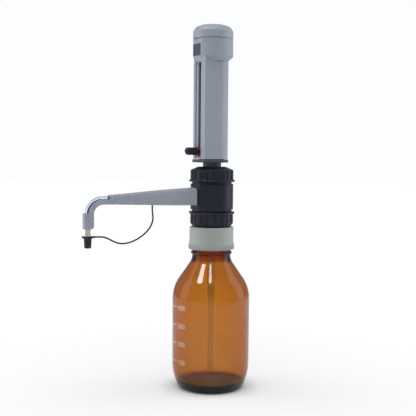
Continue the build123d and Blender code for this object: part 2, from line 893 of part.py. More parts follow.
def make_housing_cuts():
    """Everything taken out of the housing: bores, rail, slot, scale recess and window seat."""
    bore = disc(housing_bore, body_bottom - 1, carrier_bottom + 1)
    head_room = disc(head_bore, carrier_bottom, head_top + 1)
    rail = block(-rail_reach, 0, rail_half, body_bottom - 1, channel_top + 0.5)
    recess = block(-front_reach - 5, -channel_floor, channel_half, body_bottom + channel_foot, channel_top)
    slot = block(-front_reach - 5, 0, slot_half, body_bottom + channel_foot + 1.0, channel_top - 0.7)
    strip_mid = (strip_inner + strip_outer) / 2
    strip = Pos(0, strip_mid, 0) * block(
        -channel_floor - 1,
        -channel_floor + strip_thickness + press_gap,
        (strip_outer - strip_inner) / 2 + press_gap,
        strip_low - press_gap,
        strip_high + press_gap,
    )
    window = window_solid(press_gap, window_depth + 1)
    return bore + head_room + rail + recess + slot + strip + window


def window_solid(grow, thickness):
    """Rounded plate standing in the flat of the head, from its seat outwards."""
    outline = RectangleRounded(2 * (window_half + grow), window_height + 2 * grow, window_corner + grow)
    plate = extrude(outline, thickness)
    seat = Plane(
        origin=(-head_flat + window_depth, 0, head_bottom + window_height / 2 + 0.4),
        x_dir=(0, 1, 0),
        z_dir=(-1, 0, 0),
    )
    return seat * plate


def make_window():
    """Dark range plate in the flat of the head."""
    return window_solid(0.0, window_depth + window_proud)


def make_scale_strip():
    """Pale scale strip let into the floor of the recess beside the slot."""
    strip_mid = (strip_inner + strip_outer) / 2
    return Pos(0, strip_mid, 0) * block(
        -channel_floor,
        -channel_floor + strip_thickness,
        (strip_outer - strip_inner) / 2,
        strip_low,
        strip_high,
    )


def make_housing_foot():
    """Foot plate of the housing, guided on the sleeve, with a rim that locates the shells."""
    plate = Pos(0, 0, foot_bottom) * extrude(housing_outline(foot_proud), foot_height)
    rim = disc(housing_bore - slip_gap, foot_top - 1, body_bottom + 1.2)
    return plate + rim - disc(sleeve_radius + 0.25, foot_bottom - 1, body_bottom + 2)


def make_top_cap():
    """Hollow top cap: domed edge, flat crown and a spigot in the head that holds the carrier down."""
    edge_chamfer = 0.5
    dome_high = cap_top - cap_crown
    dome_mid = ((head_radius + cap_dome_radius) / 2 + 0.9, (cap_wall_top + dome_high) / 2 + 1.2)
    crown_mid = ((cap_dome_radius + cap_crown_flat) / 2, dome_high + 0.72 * cap_crown)
    spigot = head_bore - slip_gap
    inner = spigot - cap_shell
    spigot_foot = carrier_top + seat_gap
    return revolve_edges(
        [
            Line((spigot, cap_bottom), (head_radius, cap_bottom)),
            Line((head_radius, cap_bottom), (head_radius, cap_wall_top)),
            Line((head_radius, cap_wall_top), (head_radius - edge_chamfer, cap_wall_top + edge_chamfer)),
            ThreePointArc(
                (head_radius - edge_chamfer, cap_wall_top + edge_chamfer),
                dome_mid,
                (cap_dome_radius, dome_high),
            ),
            ThreePointArc((cap_dome_radius, dome_high), crown_mid, (cap_crown_flat, cap_top)),
            Line((cap_crown_flat, cap_top), (0, cap_top)),
            Line((0, cap_top), (0, dome_high - cap_shell)),
            Line((0, dome_high - cap_shell), (cap_dome_radius - cap_shell, dome_high - cap_shell)),
            Line((cap_dome_radius - cap_shell, dome_high - cap_shell), (inner, cap_wall_top)),
            Line((inner, cap_wall_top), (inner, spigot_foot)),
            Line((inner, spigot_foot), (spigot, spigot_foot)),
            Line((spigot, spigot_foot), (spigot, cap_bottom)),
        ]
    )


rod_foot = piston_foot + piston_length - rod_grip + press_gap
rod_top = carrier_top + rod_nut_height + 1.5


def make_piston_rod():
    """Piston rod from the piston's socket to the nut above the carrier."""
    return disc(rod_radius, rod_foot, rod_top - 0.5) + disc(rod_radius - 0.5, rod_top - 0.5, rod_top)


def make_rod_carrier():
    """Round carrier plate in the head that hangs the piston rod in the housing."""
    return ring(head_bore - slip_gap, rod_radius + press_gap, carrier_bottom, carrier_top)


def make_rod_nut():
    """Hexagonal nut on the rod's upper end."""
    hexagon = Pos(0, 0, carrier_top) * extrude(RegularPolygon(rod_nut_radius, 6), rod_nut_height)
    return hexagon - disc(rod_radius + press_gap, carrier_top - 1, carrier_top + rod_nut_height + 1)


pointer_back = channel_floor + 0.2
pointer_front = pointer_back + pointer_thickness


def make_slide_block():
    """Slide block behind the slot: body in the rail, neck through the slot, bored for the screw."""
    low = pointer_z - slide_half_height
    high = pointer_z + slide_half_height
    body = block(-rail_reach + 0.2, -slide_inner_reach, rail_half - 0.25, low, high)
    neck_half = slide_half_height - 2.0
    neck_root = -slide_inner_reach - 1.0
    neck = block(-pointer_back, neck_root, slot_half - 0.2, pointer_z - neck_half, pointer_z + neck_half)
    return body + neck - rod_x(screw_radius + running_gap, -front_reach - 5, 0, pointer_z)


def make_pointer():
    """Red pointer plate that runs in the scale recess."""
    plate = rod_x(pointer_radius, -pointer_front, -pointer_back, pointer_z)
    return plate - rod_x(screw_radius + running_gap, -front_reach - 5, 0, pointer_z)


knob_foot = pointer_front + 0.2


def make_lock_screw():
    """Screw of the lock knob, from the slide block out into the knob."""
    return rod_x(screw_radius, -knob_foot - screw_grip, -slide_inner_reach - 0.5, pointer_z)


def make_lock_knob():
    """Fluted lock knob with a domed end, along X."""
    dome = knob_radius * 0.85
    straight = knob_length - dome
    outer = revolve_edges(
        [
            Line((0, 0), (knob_radius - 0.3, 0)),
            Line((knob_radius - 0.3, 0), (knob_radius, 0.3)),
            Line((knob_radius, 0.3), (knob_radius, straight)),
            ThreePointArc(
                (knob_radius, straight),
                (knob_radius * math.sqrt(0.5), straight + dome * math.sqrt(0.5)),
                (0, knob_length),
            ),
            Line((0, knob_length), (0, 0)),
        ]
    )
    flutes = extrude(toothed(knob_flutes, knob_radius + 0.2, knob_root, 0.6), straight)
    core = disc(knob_root, 0, knob_length + 1)
    base = disc(knob_radius, 0, 1.0)
    tip = disc(knob_radius, straight - 0.01, knob_length)
    socket = disc(screw_radius + press_gap, -1, screw_grip + press_gap)
    shape = (outer & (flutes + core + base + tip)) - socket
    return Pos(-knob_foot, 0, pointer_z) * Rot(0, -90, 0) * shape


def make_vent_plug():
    """Vent plug on its spot face in the side of the valve block, with a knurled head."""
    head = extrude(toothed(16, vent_head_radius, vent_head_radius - 0.4, 0.6), vent_head_height)
    stem = disc(vent_radius, seat_gap - vent_depth, 0.5)
    return Pos(0, vent_seat, outlet_z) * Rot(-90, 0, 0) * (head + stem)


def make_intake_tube():
    """Upper filling tube, pushed on the inlet valve's barb."""
    inner = barb_radius + press_gap
    return ring(inner + tube_wall, inner, barb_top - 1.0 - upper_tube_length, barb_top - 1.0)


def make_intake_extension():
    """Lower filling tube, sliding in the upper one, cut square above the bottle's floor."""
    outer = barb_radius + press_gap - running_gap
    low = punt_height + bottle_floor + tube_floor_gap
    high = barb_top - 1.0 - upper_tube_length + tube_overlap
    return ring(outer, outer - tube_wall, low, high)


lower_nut = Pos(0, 0, lower_nut_bottom + nut_height) * Rot(180, 0, 0) * make_ring_nut(
    adapter_neck_radius + seat_gap, lower_nut_face
)
upper_nut = Pos(0, 0, upper_nut_bottom) * make_ring_nut(sleeve_radius + thread_gap, upper_nut_face)
housing = make_housing_hull() - make_housing_cuts()
front_side = block(-head_radius - 1, -seam_gap / 2, head_radius + 1, 0, cap_top)
rear_side = block(seam_gap / 2, head_radius + 1, head_radius + 1, 0, cap_top)

pieces = {
    "bottle": make_bottle(),
    "neck_adapter": make_adapter(),
    "neck_seal": ring(spigot_radius - 0.6, adapter_bore + 1.0, adapter_flange_top, neck_seal_top),
    "lower_ring_nut": lower_nut,
    "valve_block": make_valve_block(),
    "inlet_valve_cage": make_inlet_valve(),
    "inlet_ball": Pos(0, 0, inlet_ball_z) * Sphere(inlet_ball_radius),
    "intake_tube": make_intake_tube(),
    "intake_extension": make_intake_extension(),
    "outlet_valve_cage": make_outlet_valve(),
    "outlet_ball": Pos(outlet_ball_x, 0, outlet_z) * Sphere(outlet_ball_radius),
    "vent_plug": make_vent_plug(),
    "arm_body": make_arm_body(),
    "arm_cover": make_arm_cover(),
    "discharge_hose": make_hose(),
    "nozzle": make_nozzle(),
    "nozzle_cap": make_nozzle_cap(),
    "tether": make_tether(),
    "upper_ring_nut": upper_nut,
    "cylinder_sleeve": make_sleeve(),
    "stop_ring": make_stop_ring(),
    "glass_cylinder": make_glass_cylinder(),
    "cylinder_seal": make_cylinder_seal(),
    "piston": make_piston(),
    "piston_seal": make_piston_seal(),
    "piston_rod": make_piston_rod(),
    "rod_carrier": make_rod_carrier(),
    "rod_nut": make_rod_nut(),
    "housing_front": housing & front_side,
    "housing_rear": housing & rear_side,
    "housing_foot": make_housing_foot(),
    "top_cap": make_top_cap(),
    "range_window": make_window(),
    "scale_strip": make_scale_strip(),
    "slide_block": make_slide_block(),
    "pointer": make_pointer(),
    "lock_screw": make_lock_screw(),
    "lock_knob": make_lock_knob(),
}

for name, shape in pieces.items():
    export_step(shape, f"parts/{name}.step")
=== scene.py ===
import math

import bmesh
import bpy
import numpy as np
from mathutils import Matrix, Vector


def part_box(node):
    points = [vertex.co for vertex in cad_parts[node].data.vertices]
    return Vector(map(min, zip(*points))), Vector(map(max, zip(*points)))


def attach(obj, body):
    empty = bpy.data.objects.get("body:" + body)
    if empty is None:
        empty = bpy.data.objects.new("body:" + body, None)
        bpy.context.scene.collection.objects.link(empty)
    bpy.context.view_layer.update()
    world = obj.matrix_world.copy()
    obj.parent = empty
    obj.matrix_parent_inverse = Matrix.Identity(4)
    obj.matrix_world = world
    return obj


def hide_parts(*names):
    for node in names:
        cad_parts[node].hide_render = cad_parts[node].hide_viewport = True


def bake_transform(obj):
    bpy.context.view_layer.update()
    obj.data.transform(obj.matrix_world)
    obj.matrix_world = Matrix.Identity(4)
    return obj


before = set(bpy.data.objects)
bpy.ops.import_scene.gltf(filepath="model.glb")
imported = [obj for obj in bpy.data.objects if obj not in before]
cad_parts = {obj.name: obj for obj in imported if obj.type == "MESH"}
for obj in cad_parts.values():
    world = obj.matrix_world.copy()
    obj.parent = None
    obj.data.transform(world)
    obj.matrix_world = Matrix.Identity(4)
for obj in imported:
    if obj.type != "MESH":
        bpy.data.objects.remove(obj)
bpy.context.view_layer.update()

bl_info = {
    "name": "Bottle-top dispenser",
    "version": (1, 0, 0),
    "blender": (4, 5, 0),
    "location": "3D View > Sidebar > Dispenser",
    "description": "Dresses a bottle-top dispenser on its amber bottle, piece by piece",
    "category": "Mesh",
}

MM = 0.001
TURN = 2 * math.pi


# Heights and sizes read from the frame, in millimetres
def corners(node):
    """Lowest and highest corner of a CAD node in millimetres."""
    low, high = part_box(node)
    return np.array(low) / MM, np.array(high) / MM


_, BOTTLE_HIGH = corners("bottle")
ADAPTER_LOW, ADAPTER_HIGH = corners("neck_adapter")
LOWER_NUT_LOW, LOWER_NUT_HIGH = corners("lower_ring_nut")
UPPER_NUT_LOW, UPPER_NUT_HIGH = corners("upper_ring_nut")
BLOCK_LOW, BLOCK_HIGH = corners("valve_block")
SLEEVE_LOW, SLEEVE_HIGH = corners("cylinder_sleeve")
FOOT_LOW, FOOT_HIGH = corners("housing_foot")
SHELL_LOW, SHELL_HIGH = corners("housing_front")
CAP_LOW, CAP_HIGH = corners("top_cap")
WINDOW_LOW, WINDOW_HIGH = corners("range_window")
STRIP_LOW, STRIP_HIGH = corners("scale_strip")
POINTER_LOW, POINTER_HIGH = corners("pointer")
KNOB_LOW, KNOB_HIGH = corners("lock_knob")
ARM_LOW, _ = corners("arm_body")
COVER_LOW, _ = corners("arm_cover")
HOSE_LOW, _ = corners("discharge_hose")
NOZZLE_LOW, NOZZLE_HIGH = corners("nozzle")
NOZZLE_CAP_LOW, NOZZLE_CAP_HIGH = corners("nozzle_cap")
VALVE_LOW, VALVE_HIGH = corners("outlet_valve_cage")

OUTLET_Z = (VALVE_LOW[2] + VALVE_HIGH[2]) / 2
REACH = -(NOZZLE_LOW[0] + NOZZLE_HIGH[0]) / 2
POINTER_Z = (POINTER_LOW[2] + POINTER_HIGH[2]) / 2


# Meshes from whole arrays
def object_of(name, points, quads, smooth_angle=35.0):
    """New object whose mesh has these points, in millimetres, and these faces; edges sharper than the
    angle stay crisp. Doubles are merged, and the faces are turned outwards."""
    mesh = bpy.data.meshes.new(name)
    mesh.from_pydata((np.asarray(points, float).reshape(-1, 3) * MM).tolist(), [], quads)
    made = bmesh.new()
    made.from_mesh(mesh)
    bmesh.ops.remove_doubles(made, verts=made.verts, dist=2e-6)
    bmesh.ops.dissolve_degenerate(made, edges=made.edges, dist=1e-6)
    bmesh.ops.recalc_face_normals(made, faces=made.faces)
    made.to_mesh(mesh)
    made.free()
    mesh.shade_smooth()
    mesh.set_sharp_from_angle(angle=math.radians(smooth_angle))
    made_object = bpy.data.objects.new(name, mesh)
    bpy.context.scene.collection.objects.link(made_object)
    return made_object


def grid_faces(rows, columns, close_rows=False, close_columns=False, keep=None, start=0):
    """Faces of a grid of rows by columns, numbered row by row; a closed side joins its last line to
    its first, and keep, an array of cells, leaves out the cells that are False."""
    row_count = rows if close_rows else rows - 1
    column_count = columns if close_columns else columns - 1
    row, column = np.meshgrid(np.arange(row_count), np.arange(column_count), indexing="ij")
    if keep is not None:
        row, column = row[keep], column[keep]
    row, column = row.ravel(), column.ravel()
    below, beside = (row + 1) % rows, (column + 1) % columns
    here, under = row * columns, below * columns
    return (np.stack([here + column, here + beside, under + beside, under + column], 1) + start).tolist()


def rounded(corner_list, steps=6):
    """Outline through corners given as (u, v, radius): each corner with a radius becomes an arc that
    is tangent to both its sides. Returns an array of points."""
    points = [np.array(corner[:2], float) for corner in corner_list]
    radii = [corner[2] if len(corner) > 2 else 0.0 for corner in corner_list]
    outline = []
    for index, (here, radius) in enumerate(zip(points, radii)):
        if radius <= 0 or index in (0, len(points) - 1):
            outline.append(here)
            continue
        to_last = points[index - 1] - here
        to_next = points[index + 1] - here
        long_last, long_next = np.linalg.norm(to_last), np.linalg.norm(to_next)
        to_last, to_next = to_last / long_last, to_next / long_next
        half = math.acos(max(-1.0, min(1.0, float(to_last @ to_next)))) / 2
        cut = min(radius / math.tan(half), 0.49 * long_last, 0.49 * long_next)
        radius = cut * math.tan(half)
        middle = to_last + to_next
        centre = here + middle / np.linalg.norm(middle) * radius / math.sin(half)
        first = here + to_last * cut - centre
        last = here + to_next * cut - centre
        turn = math.atan2(first[0] * last[1] - first[1] * last[0], float(first @ last))
        angles = np.linspace(0, turn, steps + 1)
        outline.extend(
            centre
            + np.stack(
                [
                    first[0] * np.cos(angles) - first[1] * np.sin(angles),
                    first[0] * np.sin(angles) + first[1] * np.cos(angles),
                ],
                1,
            )
        )
    return np.array(outline)


def refined(outline, step):
    """The outline with extra points, so that no straight run is longer than the step."""
    parts = [outline[:1]]
    for first, last in zip(outline, outline[1:]):
        count = max(1, int(math.ceil(np.linalg.norm(last - first) / step)))
        parts.append(first + (last - first) * np.linspace(0, 1, count + 1)[1:, None])
    return np.concatenate(parts)


def turned_points(outline, segments, ripple=None, centre=(0.0, 0.0)):
    """Points of an outline of radius and height turned about an upright axis: (r cos a, r sin a, z),
    where ripple(a, z, r), if given, returns the radius at that place."""
    angle = np.arange(segments) * TURN / segments
    radius = np.repeat(outline[:, :1], segments, 1)
    height = np.repeat(outline[:, 1:], segments, 1)
    turns = np.repeat(angle[None, :], len(outline), 0)
    if ripple is not None:
        radius = ripple(turns, height, radius)
    return np.stack([centre[0] + radius * np.cos(turns), centre[1] + radius * np.sin(turns), height], 2)


def turned_object(name, outline, segments=160, ripple=None, centre=(0.0, 0.0), closed=False, angle=35.0):
    """Object turned from an outline of radius and height; a closed outline makes a ring with a bore."""
    outline = np.asarray(outline, float)
    points = turned_points(outline, segments, ripple, centre)
    faces = grid_faces(len(outline), segments, close_rows=closed, close_columns=True)
    return object_of(name, points, faces, angle)


def dress(piece, body, material, nodes=(), blend=None):
    """Gives a finished piece its material, the nodes that it stands for and its body."""
    piece.data.materials.clear()
    piece.data.materials.append(material)
    if nodes:
        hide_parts(*nodes)
    if blend is None:
        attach(piece, body)
    return piece


# Materials
def linear(red, green, blue):
    """Scene-linear colour of an sRGB one given in 0 to 255."""
    shares = np.array([red, green, blue]) / 255
    return tuple(np.where(shares <= 0.04045, shares / 12.92, ((shares + 0.055) / 1.055) ** 2.4).tolist())


def tinted(colour, factor):
    """The colour made lighter or darker, with full alpha."""
    return tuple(min(1.0, channel * factor) for channel in colour[:3]) + (1.0,)


def ranged_node(tree, source, start, end, low, high):
    """Value that goes from low to high while the source goes from start to end."""
    node = tree.nodes.new("ShaderNodeMapRange")
    for socket, value in (("From Min", start), ("From Max", end), ("To Min", low), ("To Max", high)):
        node.inputs[socket].default_value = value
    tree.links.new(source, node.inputs["Value"])
    return node.outputs["Result"]


def mixed_node(tree, factor, first, second):
    """Number that goes from the first to the second with the factor; both are numbers or sockets."""
    node = tree.nodes.new("ShaderNodeMix")
    tree.links.new(factor, node.inputs["Factor"])
    for socket, value in ((node.inputs["A"], first), (node.inputs["B"], second)):
        if isinstance(value, float):
            socket.default_value = value
        else:
            tree.links.new(value, socket)
    return node.outputs["Result"]


class Finish:
    """A material with one Principled shader, and short ways to add the nodes that shape it."""

    def __init__(self, name, colour, roughness, **sockets):
        self.material = bpy.data.materials.new(name)
        self.material.use_nodes = True
        self.tree = self.material.node_tree
        self.shader = self.tree.nodes["Principled BSDF"]
        self.output = self.tree.nodes["Material Output"]
        self.place = self.add("ShaderNodeTexCoord").outputs["Object"]
        self.colour = colour
        self.set(**{"Base Color": tuple(colour[:3]) + (1.0,), "Roughness": roughness, **sockets})
        self.height = None

    def set(self, **sockets):
        """Sets constants on the shader's own sockets."""
        for socket, value in sockets.items():
            self.shader.inputs[socket].default_value = value

    def add(self, kind, **values):
        """New node with these settings."""
        node = self.tree.nodes.new(kind)
        for key, value in values.items():
            setattr(node, key, value)
        return node

    def link(self, source, target):
        """Joins an output to an input."""
        self.tree.links.new(source, target)

    def noise(self, scale, detail=3.0, rough=0.55, stretch=(1.0, 1.0, 1.0)):
        """Noise over the piece's own place; scale is in patterns a metre."""
        place = self.place
        if stretch != (1.0, 1.0, 1.0):
            turn = self.add("ShaderNodeMapping")
            turn.inputs["Scale"].default_value = stretch
            self.link(place, turn.inputs["Vector"])
            place = turn.outputs["Vector"]
        node = self.add("ShaderNodeTexNoise")
        node.inputs["Scale"].default_value = scale
        node.inputs["Detail"].default_value = detail
        node.inputs["Roughness"].default_value = rough
        self.link(place, node.inputs["Vector"])
        return node.outputs["Fac"]

    def ranged(self, source, low, high, start=0.3, end=0.7):
        """Value that goes from low to high while the source goes from start to end."""
        return ranged_node(self.tree, source, start, end, low, high)

    def mixed(self, factor, first, second):
        """Colour that goes from the first to the second with the factor; both are colours or sockets."""
        node = self.add("ShaderNodeMix", data_type="RGBA")
        self.link(factor, node.inputs["Factor"])
        for socket, value in ((node.inputs["A"], first), (node.inputs["B"], second)):
            if isinstance(value, tuple):
                socket.default_value = value
            else:
                self.link(value, socket)
        return node.outputs["Result"]

    def cloudy(self, scale, spread, second=None):
        """Slow colour variation, lighter and darker by the spread."""
        dark, light = tinted(self.colour, 1 - spread), tinted(second or self.colour, 1 + spread)
        cloud = self.ranged(self.noise(scale, 2.0), 0.0, 1.0)
        result = self.mixed(cloud, dark, light)
        self.link(result, self.shader.inputs["Base Color"])
        return result

    def uneven(self, scale, low, high):
        """Roughness that varies between two values, as handled plastic does."""
        self.link(self.ranged(self.noise(scale, 4.0, 0.6), low, high), self.shader.inputs["Roughness"])

    def bump(self, source, depth, strength=1.0):
        """Relief of a depth in metres from a height source; calls add up."""
        node = self.add("ShaderNodeBump")
        node.inputs["Distance"].default_value = depth
        node.inputs["Strength"].default_value = strength
        self.link(source, node.inputs["Height"])
        if self.height is not None:
            self.link(self.height, node.inputs["Normal"])
        self.height = node.outputs["Normal"]
        self.link(self.height, self.shader.inputs["Normal"])


def moulded(name, colour, roughness, grain=0.00001, spread=0.035, fine=2600.0, **sockets):
    """Moulded plastic: fine spark-eroded grain, faint clouding and patches polished by hands."""
    finish = Finish(name, colour, roughness, **sockets)
    finish.cloudy(28.0, spread)
    finish.uneven(45.0, roughness - 0.05, roughness + 0.07)
    finish.bump(finish.noise(fine, 2.0, 0.6), grain)
    finish.bump(finish.noise(60.0, 2.0), 0.00006, 0.35)
    return finish


def glass(name, colour, density, roughness, ior, body_colour, waves):
    """Clear or tinted solid glass or plastic: light is taken up along its way through the wall, and
    slow waves bend the reflections."""
    finish = Finish(name, body_colour, roughness, **{"Transmission Weight": 1.0, "IOR": ior})
    if density > 0:
        volume = finish.add("ShaderNodeVolumeAbsorption")
        volume.inputs["Color"].default_value = tuple(colour[:3]) + (1.0,)
        volume.inputs["Density"].default_value = density
        finish.link(volume.outputs["Volume"], finish.output.inputs["Volume"])
    finish.bump(finish.noise(38.0, 2.0, 0.5, (1.0, 1.0, 0.45)), waves, 0.6)
    return finish


GREY = linear(150, 157, 169)
FOOT_GREY = linear(60, 66, 78)
NAVY = linear(17, 22, 38)
WINDOW_NAVY = linear(62, 70, 84)
ADAPTER_GREEN = linear(158, 164, 158)
RED = linear(150, 8, 14)
STRIP = linear(172, 180, 192)
NOZZLE_WHITE = linear(206, 203, 192)
AMBER = (0.851, 0.649, 0.0)
ENAMEL = linear(226, 220, 206)


def navy_plastic():
    """Near-black navy plastic of the block, the ring nuts and the knob, rubbed lighter at its grain."""
    finish = moulded("navy_plastic_finish", NAVY, 0.34, 0.000014, 0.12, 2100.0)
    finish.set(**{"Specular IOR Level": 0.45})
    return finish


def adapter_plastic():
    """Grey-green adapter plastic with faint flow lines down its side."""
    finish = moulded("adapter_plastic_finish", ADAPTER_GREEN, 0.46, 0.000012, 0.04)
    finish.bump(finish.noise(260.0, 2.0, 0.5, (1.0, 1.0, 0.08)), 0.00004, 0.5)
    return finish


def window_plastic():
    """Dark plate of the range window, glossier than the housing, with hair-fine wiping marks."""
    finish = moulded("window_plastic_finish", WINDOW_NAVY, 0.22, 0.000004, 0.06)
    finish.bump(finish.noise(900.0, 2.0, 0.5, (0.05, 1.0, 1.0)), 0.000006, 0.4)
    return finish


def white_plastic():
    """Off-white fluoroplastic of the nozzle and valves, slightly waxy."""
    finish = moulded("white_plastic_finish", NOZZLE_WHITE, 0.42, 0.00001, 0.03)
    finish.set(**{"Subsurface Weight": 0.25, "Subsurface Scale": 0.001})
    return finish


def cord_rubber():
    """Black tether rubber with fine extrusion lines round it and dusty patches."""
    finish = moulded("cord_rubber_finish", linear(22, 23, 30), 0.55, 0.00001, 0.15, 2400.0)
    finish.bump(finish.noise(5200.0, 1.0), 0.00001, 0.5)
    return finish


def steel():
    """Ground steel of the screw, with fine turning marks across its length."""
    finish = Finish("steel_finish", linear(176, 178, 182), 0.26, **{"Metallic": 1.0})
    finish.uneven(120.0, 0.2, 0.36)
    finish.bump(finish.noise(4200.0, 2.0, 0.6, (1.0, 0.05, 0.05)), 0.000008, 0.6)
    return finish


def ceramic():
    """White ground ceramic of the valve balls."""
    finish = moulded("ceramic_ball_finish", linear(228, 226, 220), 0.12, 0.000002, 0.015, 3000.0)
    finish.set(**{"Coat Weight": 0.4, "Coat Roughness": 0.08})
    return finish


def amber_glass():
    """Amber bottle glass: a clear surface over a wall that takes up green and blue."""
    return glass("amber_glass_finish", AMBER, 1150.0, 0.025, 1.5, (1.0, 1.0, 1.0), 0.0004)


def clear_glass():
    """Clear borosilicate glass of the measuring cylinder."""
    return glass("clear_glass_finish", linear(214, 232, 226), 30.0, 0.02, 1.47, (1.0, 1.0, 1.0), 0.0001)


def clear_hose():
    """Clear fluoroplastic hose, slightly milky, with faint die lines along it."""
    return glass("clear_hose_finish", linear(206, 220, 240), 120.0, 0.1, 1.34, (0.93, 0.95, 1.0), 0.0001)


# Plain moulded finishes: colour, roughness, depth of the grain, clouding and fineness of the grain
MOULDED = {
    "grey_plastic": (GREY, 0.36, 0.000008, 0.03),
    "dark_grey_plastic": (FOOT_GREY, 0.4),
    "red_plastic": (RED, 0.34, 0.000008, 0.08),
    "strip_film": (STRIP, 0.32, 0.000003, 0.02, 1800.0),
    "seal_rubber": (linear(24, 25, 28), 0.68, 0.00002, 0.1, 1800.0),
}
SPECIAL = {
    "navy_plastic": navy_plastic,
    "adapter_plastic": adapter_plastic,
    "window_plastic": window_plastic,
    "white_plastic": white_plastic,
    "cord_rubber": cord_rubber,
    "steel": steel,
    "ceramic_ball": ceramic,
    "amber_glass": amber_glass,
    "clear_glass": clear_glass,
    "clear_hose": clear_hose,
}


def material(slot):
    """The finish of a material slot, made once."""
    name = slot + "_finish"
    found = bpy.data.materials.get(name)
    if found is None:
        made = SPECIAL[slot]() if slot in SPECIAL else moulded(name, *MOULDED[slot])
        found = made.material
    return found


# Sizes and colours that a user would change
def size_property(name, description, default, low=0.0, high=1.0):
    """Length in metres, given in millimetres."""
    return bpy.props.FloatProperty(
        name=name, description=description, default=default * MM, min=low, max=high, unit="LENGTH",
        precision=5,
    )


def colour_property(name, description, default):
    """Colour of a surface, scene-linear."""
    return bpy.props.FloatVectorProperty(
        name=name, description=description, default=default, subtype="COLOR", size=3, min=0.0, max=1.0
    )


class BottleSettings(bpy.types.PropertyGroup):
    """Glass wall of the bottle and its graduation."""

    wall: size_property("Wall", "Thickness of the glass", 2.4)
    thread_height: size_property("Thread height", "How far the thread stands out of the neck", 1.55)
    mark_line: size_property("Mark line", "Width of a graduation line", 0.75)
    mark_height: size_property("Number height", "Height of the graduation's numbers", 5.9)
    mark_step: size_property("Mark step", "Height between two numbered lines", 20.1)
    enamel: colour_property("Enamel", "Colour of the graduation", ENAMEL)


class FittingSettings(bpy.types.PropertyGroup):
    """Adapter, ring nuts and valve block."""

    knurls: bpy.props.IntProperty(
        name="Knurls", description="Number of knurls round the adapter's foot", default=72, min=12, max=120
    )
    knurl_depth: size_property("Knurl depth", "Depth of a knurl", 0.65)
    ribs: bpy.props.IntProperty(
        name="Ribs", description="Number of ribs round a ring nut", default=20, min=6, max=60
    )
    rib_depth: size_property("Rib depth", "Depth between two ribs of a ring nut", 1.1)
    edge: size_property("Edge", "Rounding of the fittings' edges", 0.35)


class HousingSettings(bpy.types.PropertyGroup):
    """Pump housing, cap and volume scale."""

    seam: size_property("Seam", "Width of the joint between the two shells", 0.12)
    edge: size_property("Edge", "Rounding of the housing's slanted edges", 1.3)
    proud: size_property("Mark height", "How far printed marks stand out", 0.06)
    scale_steps: bpy.props.IntProperty(
        name="Scale steps", description="Number of lines on the volume scale", default=40, min=5, max=100
    )


class ArmSettings(bpy.types.PropertyGroup):
    """Discharge arm with its hose, nozzle and tether."""

    edge: size_property("Edge", "Rounding of the arm's upper edges", 2.6)
    tether_diameter: size_property("Tether diameter", "Thickness of the nozzle cap's tether", 1.7)


class StageSettings(bpy.types.PropertyGroup):
    """Camera, floor and light."""

    distance: size_property("Camera distance", "From the camera to the bottle's axis", 1000.0, high=10.0)
    azimuth: bpy.props.FloatProperty(
        name="Azimuth", description="Turn of the camera round the bottle", default=math.radians(-26.0),
        subtype="ANGLE",
    )
    eye_height: size_property("Eye height", "Height of the camera", 268.8, high=10.0)
    pitch: bpy.props.FloatProperty(
        name="Pitch", description="How far the camera looks down", default=math.radians(3.86),
        subtype="ANGLE",
    )
    focal_share: bpy.props.FloatProperty(
        name="Focal share", description="Focal length over the picture's width", default=900 / 416
    )
    floor: colour_property("Floor", "Colour of the floor", (0.82, 0.82, 0.82))


# Bottle
HEEL_SWEEP = 61.0
HEEL_TOP = 30.0
HEEL_CORNER = 5.0
INNER_HEEL_CORNER = 6.0
PUNT = 3.5
FLOOR = 4.0
FOOT_RING = 6.0
NECK_RADIUS = 21.2
THREAD_ROOT = 20.9
MOUTH_RADIUS = 16.0
SHOULDER_RADIUS = 41.6
SHOULDER_SLOPE = math.radians(34.6)
NECK_BLEND = 15.8
NECK_START = BOTTLE_HIGH[2] - 26.5
BEAD_LOW = BOTTLE_HIGH[2] - 25.7
BEAD_HIGH = BOTTLE_HIGH[2] - 22.3
BEAD_RADIUS = 22.9
THREAD_PITCH = 4.2
THREAD_START = BEAD_HIGH + 3.4
THREAD_HALF = 1.15
THREAD_FADE = 0.4
THREAD_LAPS = 3
RIM_ROUND = 1.4


def arc(centre_u, centre_v, radius, start, end, steps=10):
    """Points of an arc: centre plus radius times (cos t, sin t) from the start angle to the end."""
    turns = np.linspace(start, end, steps + 1)
    return np.stack([centre_u + radius * np.cos(turns), centre_v + radius * np.sin(turns)], 1)


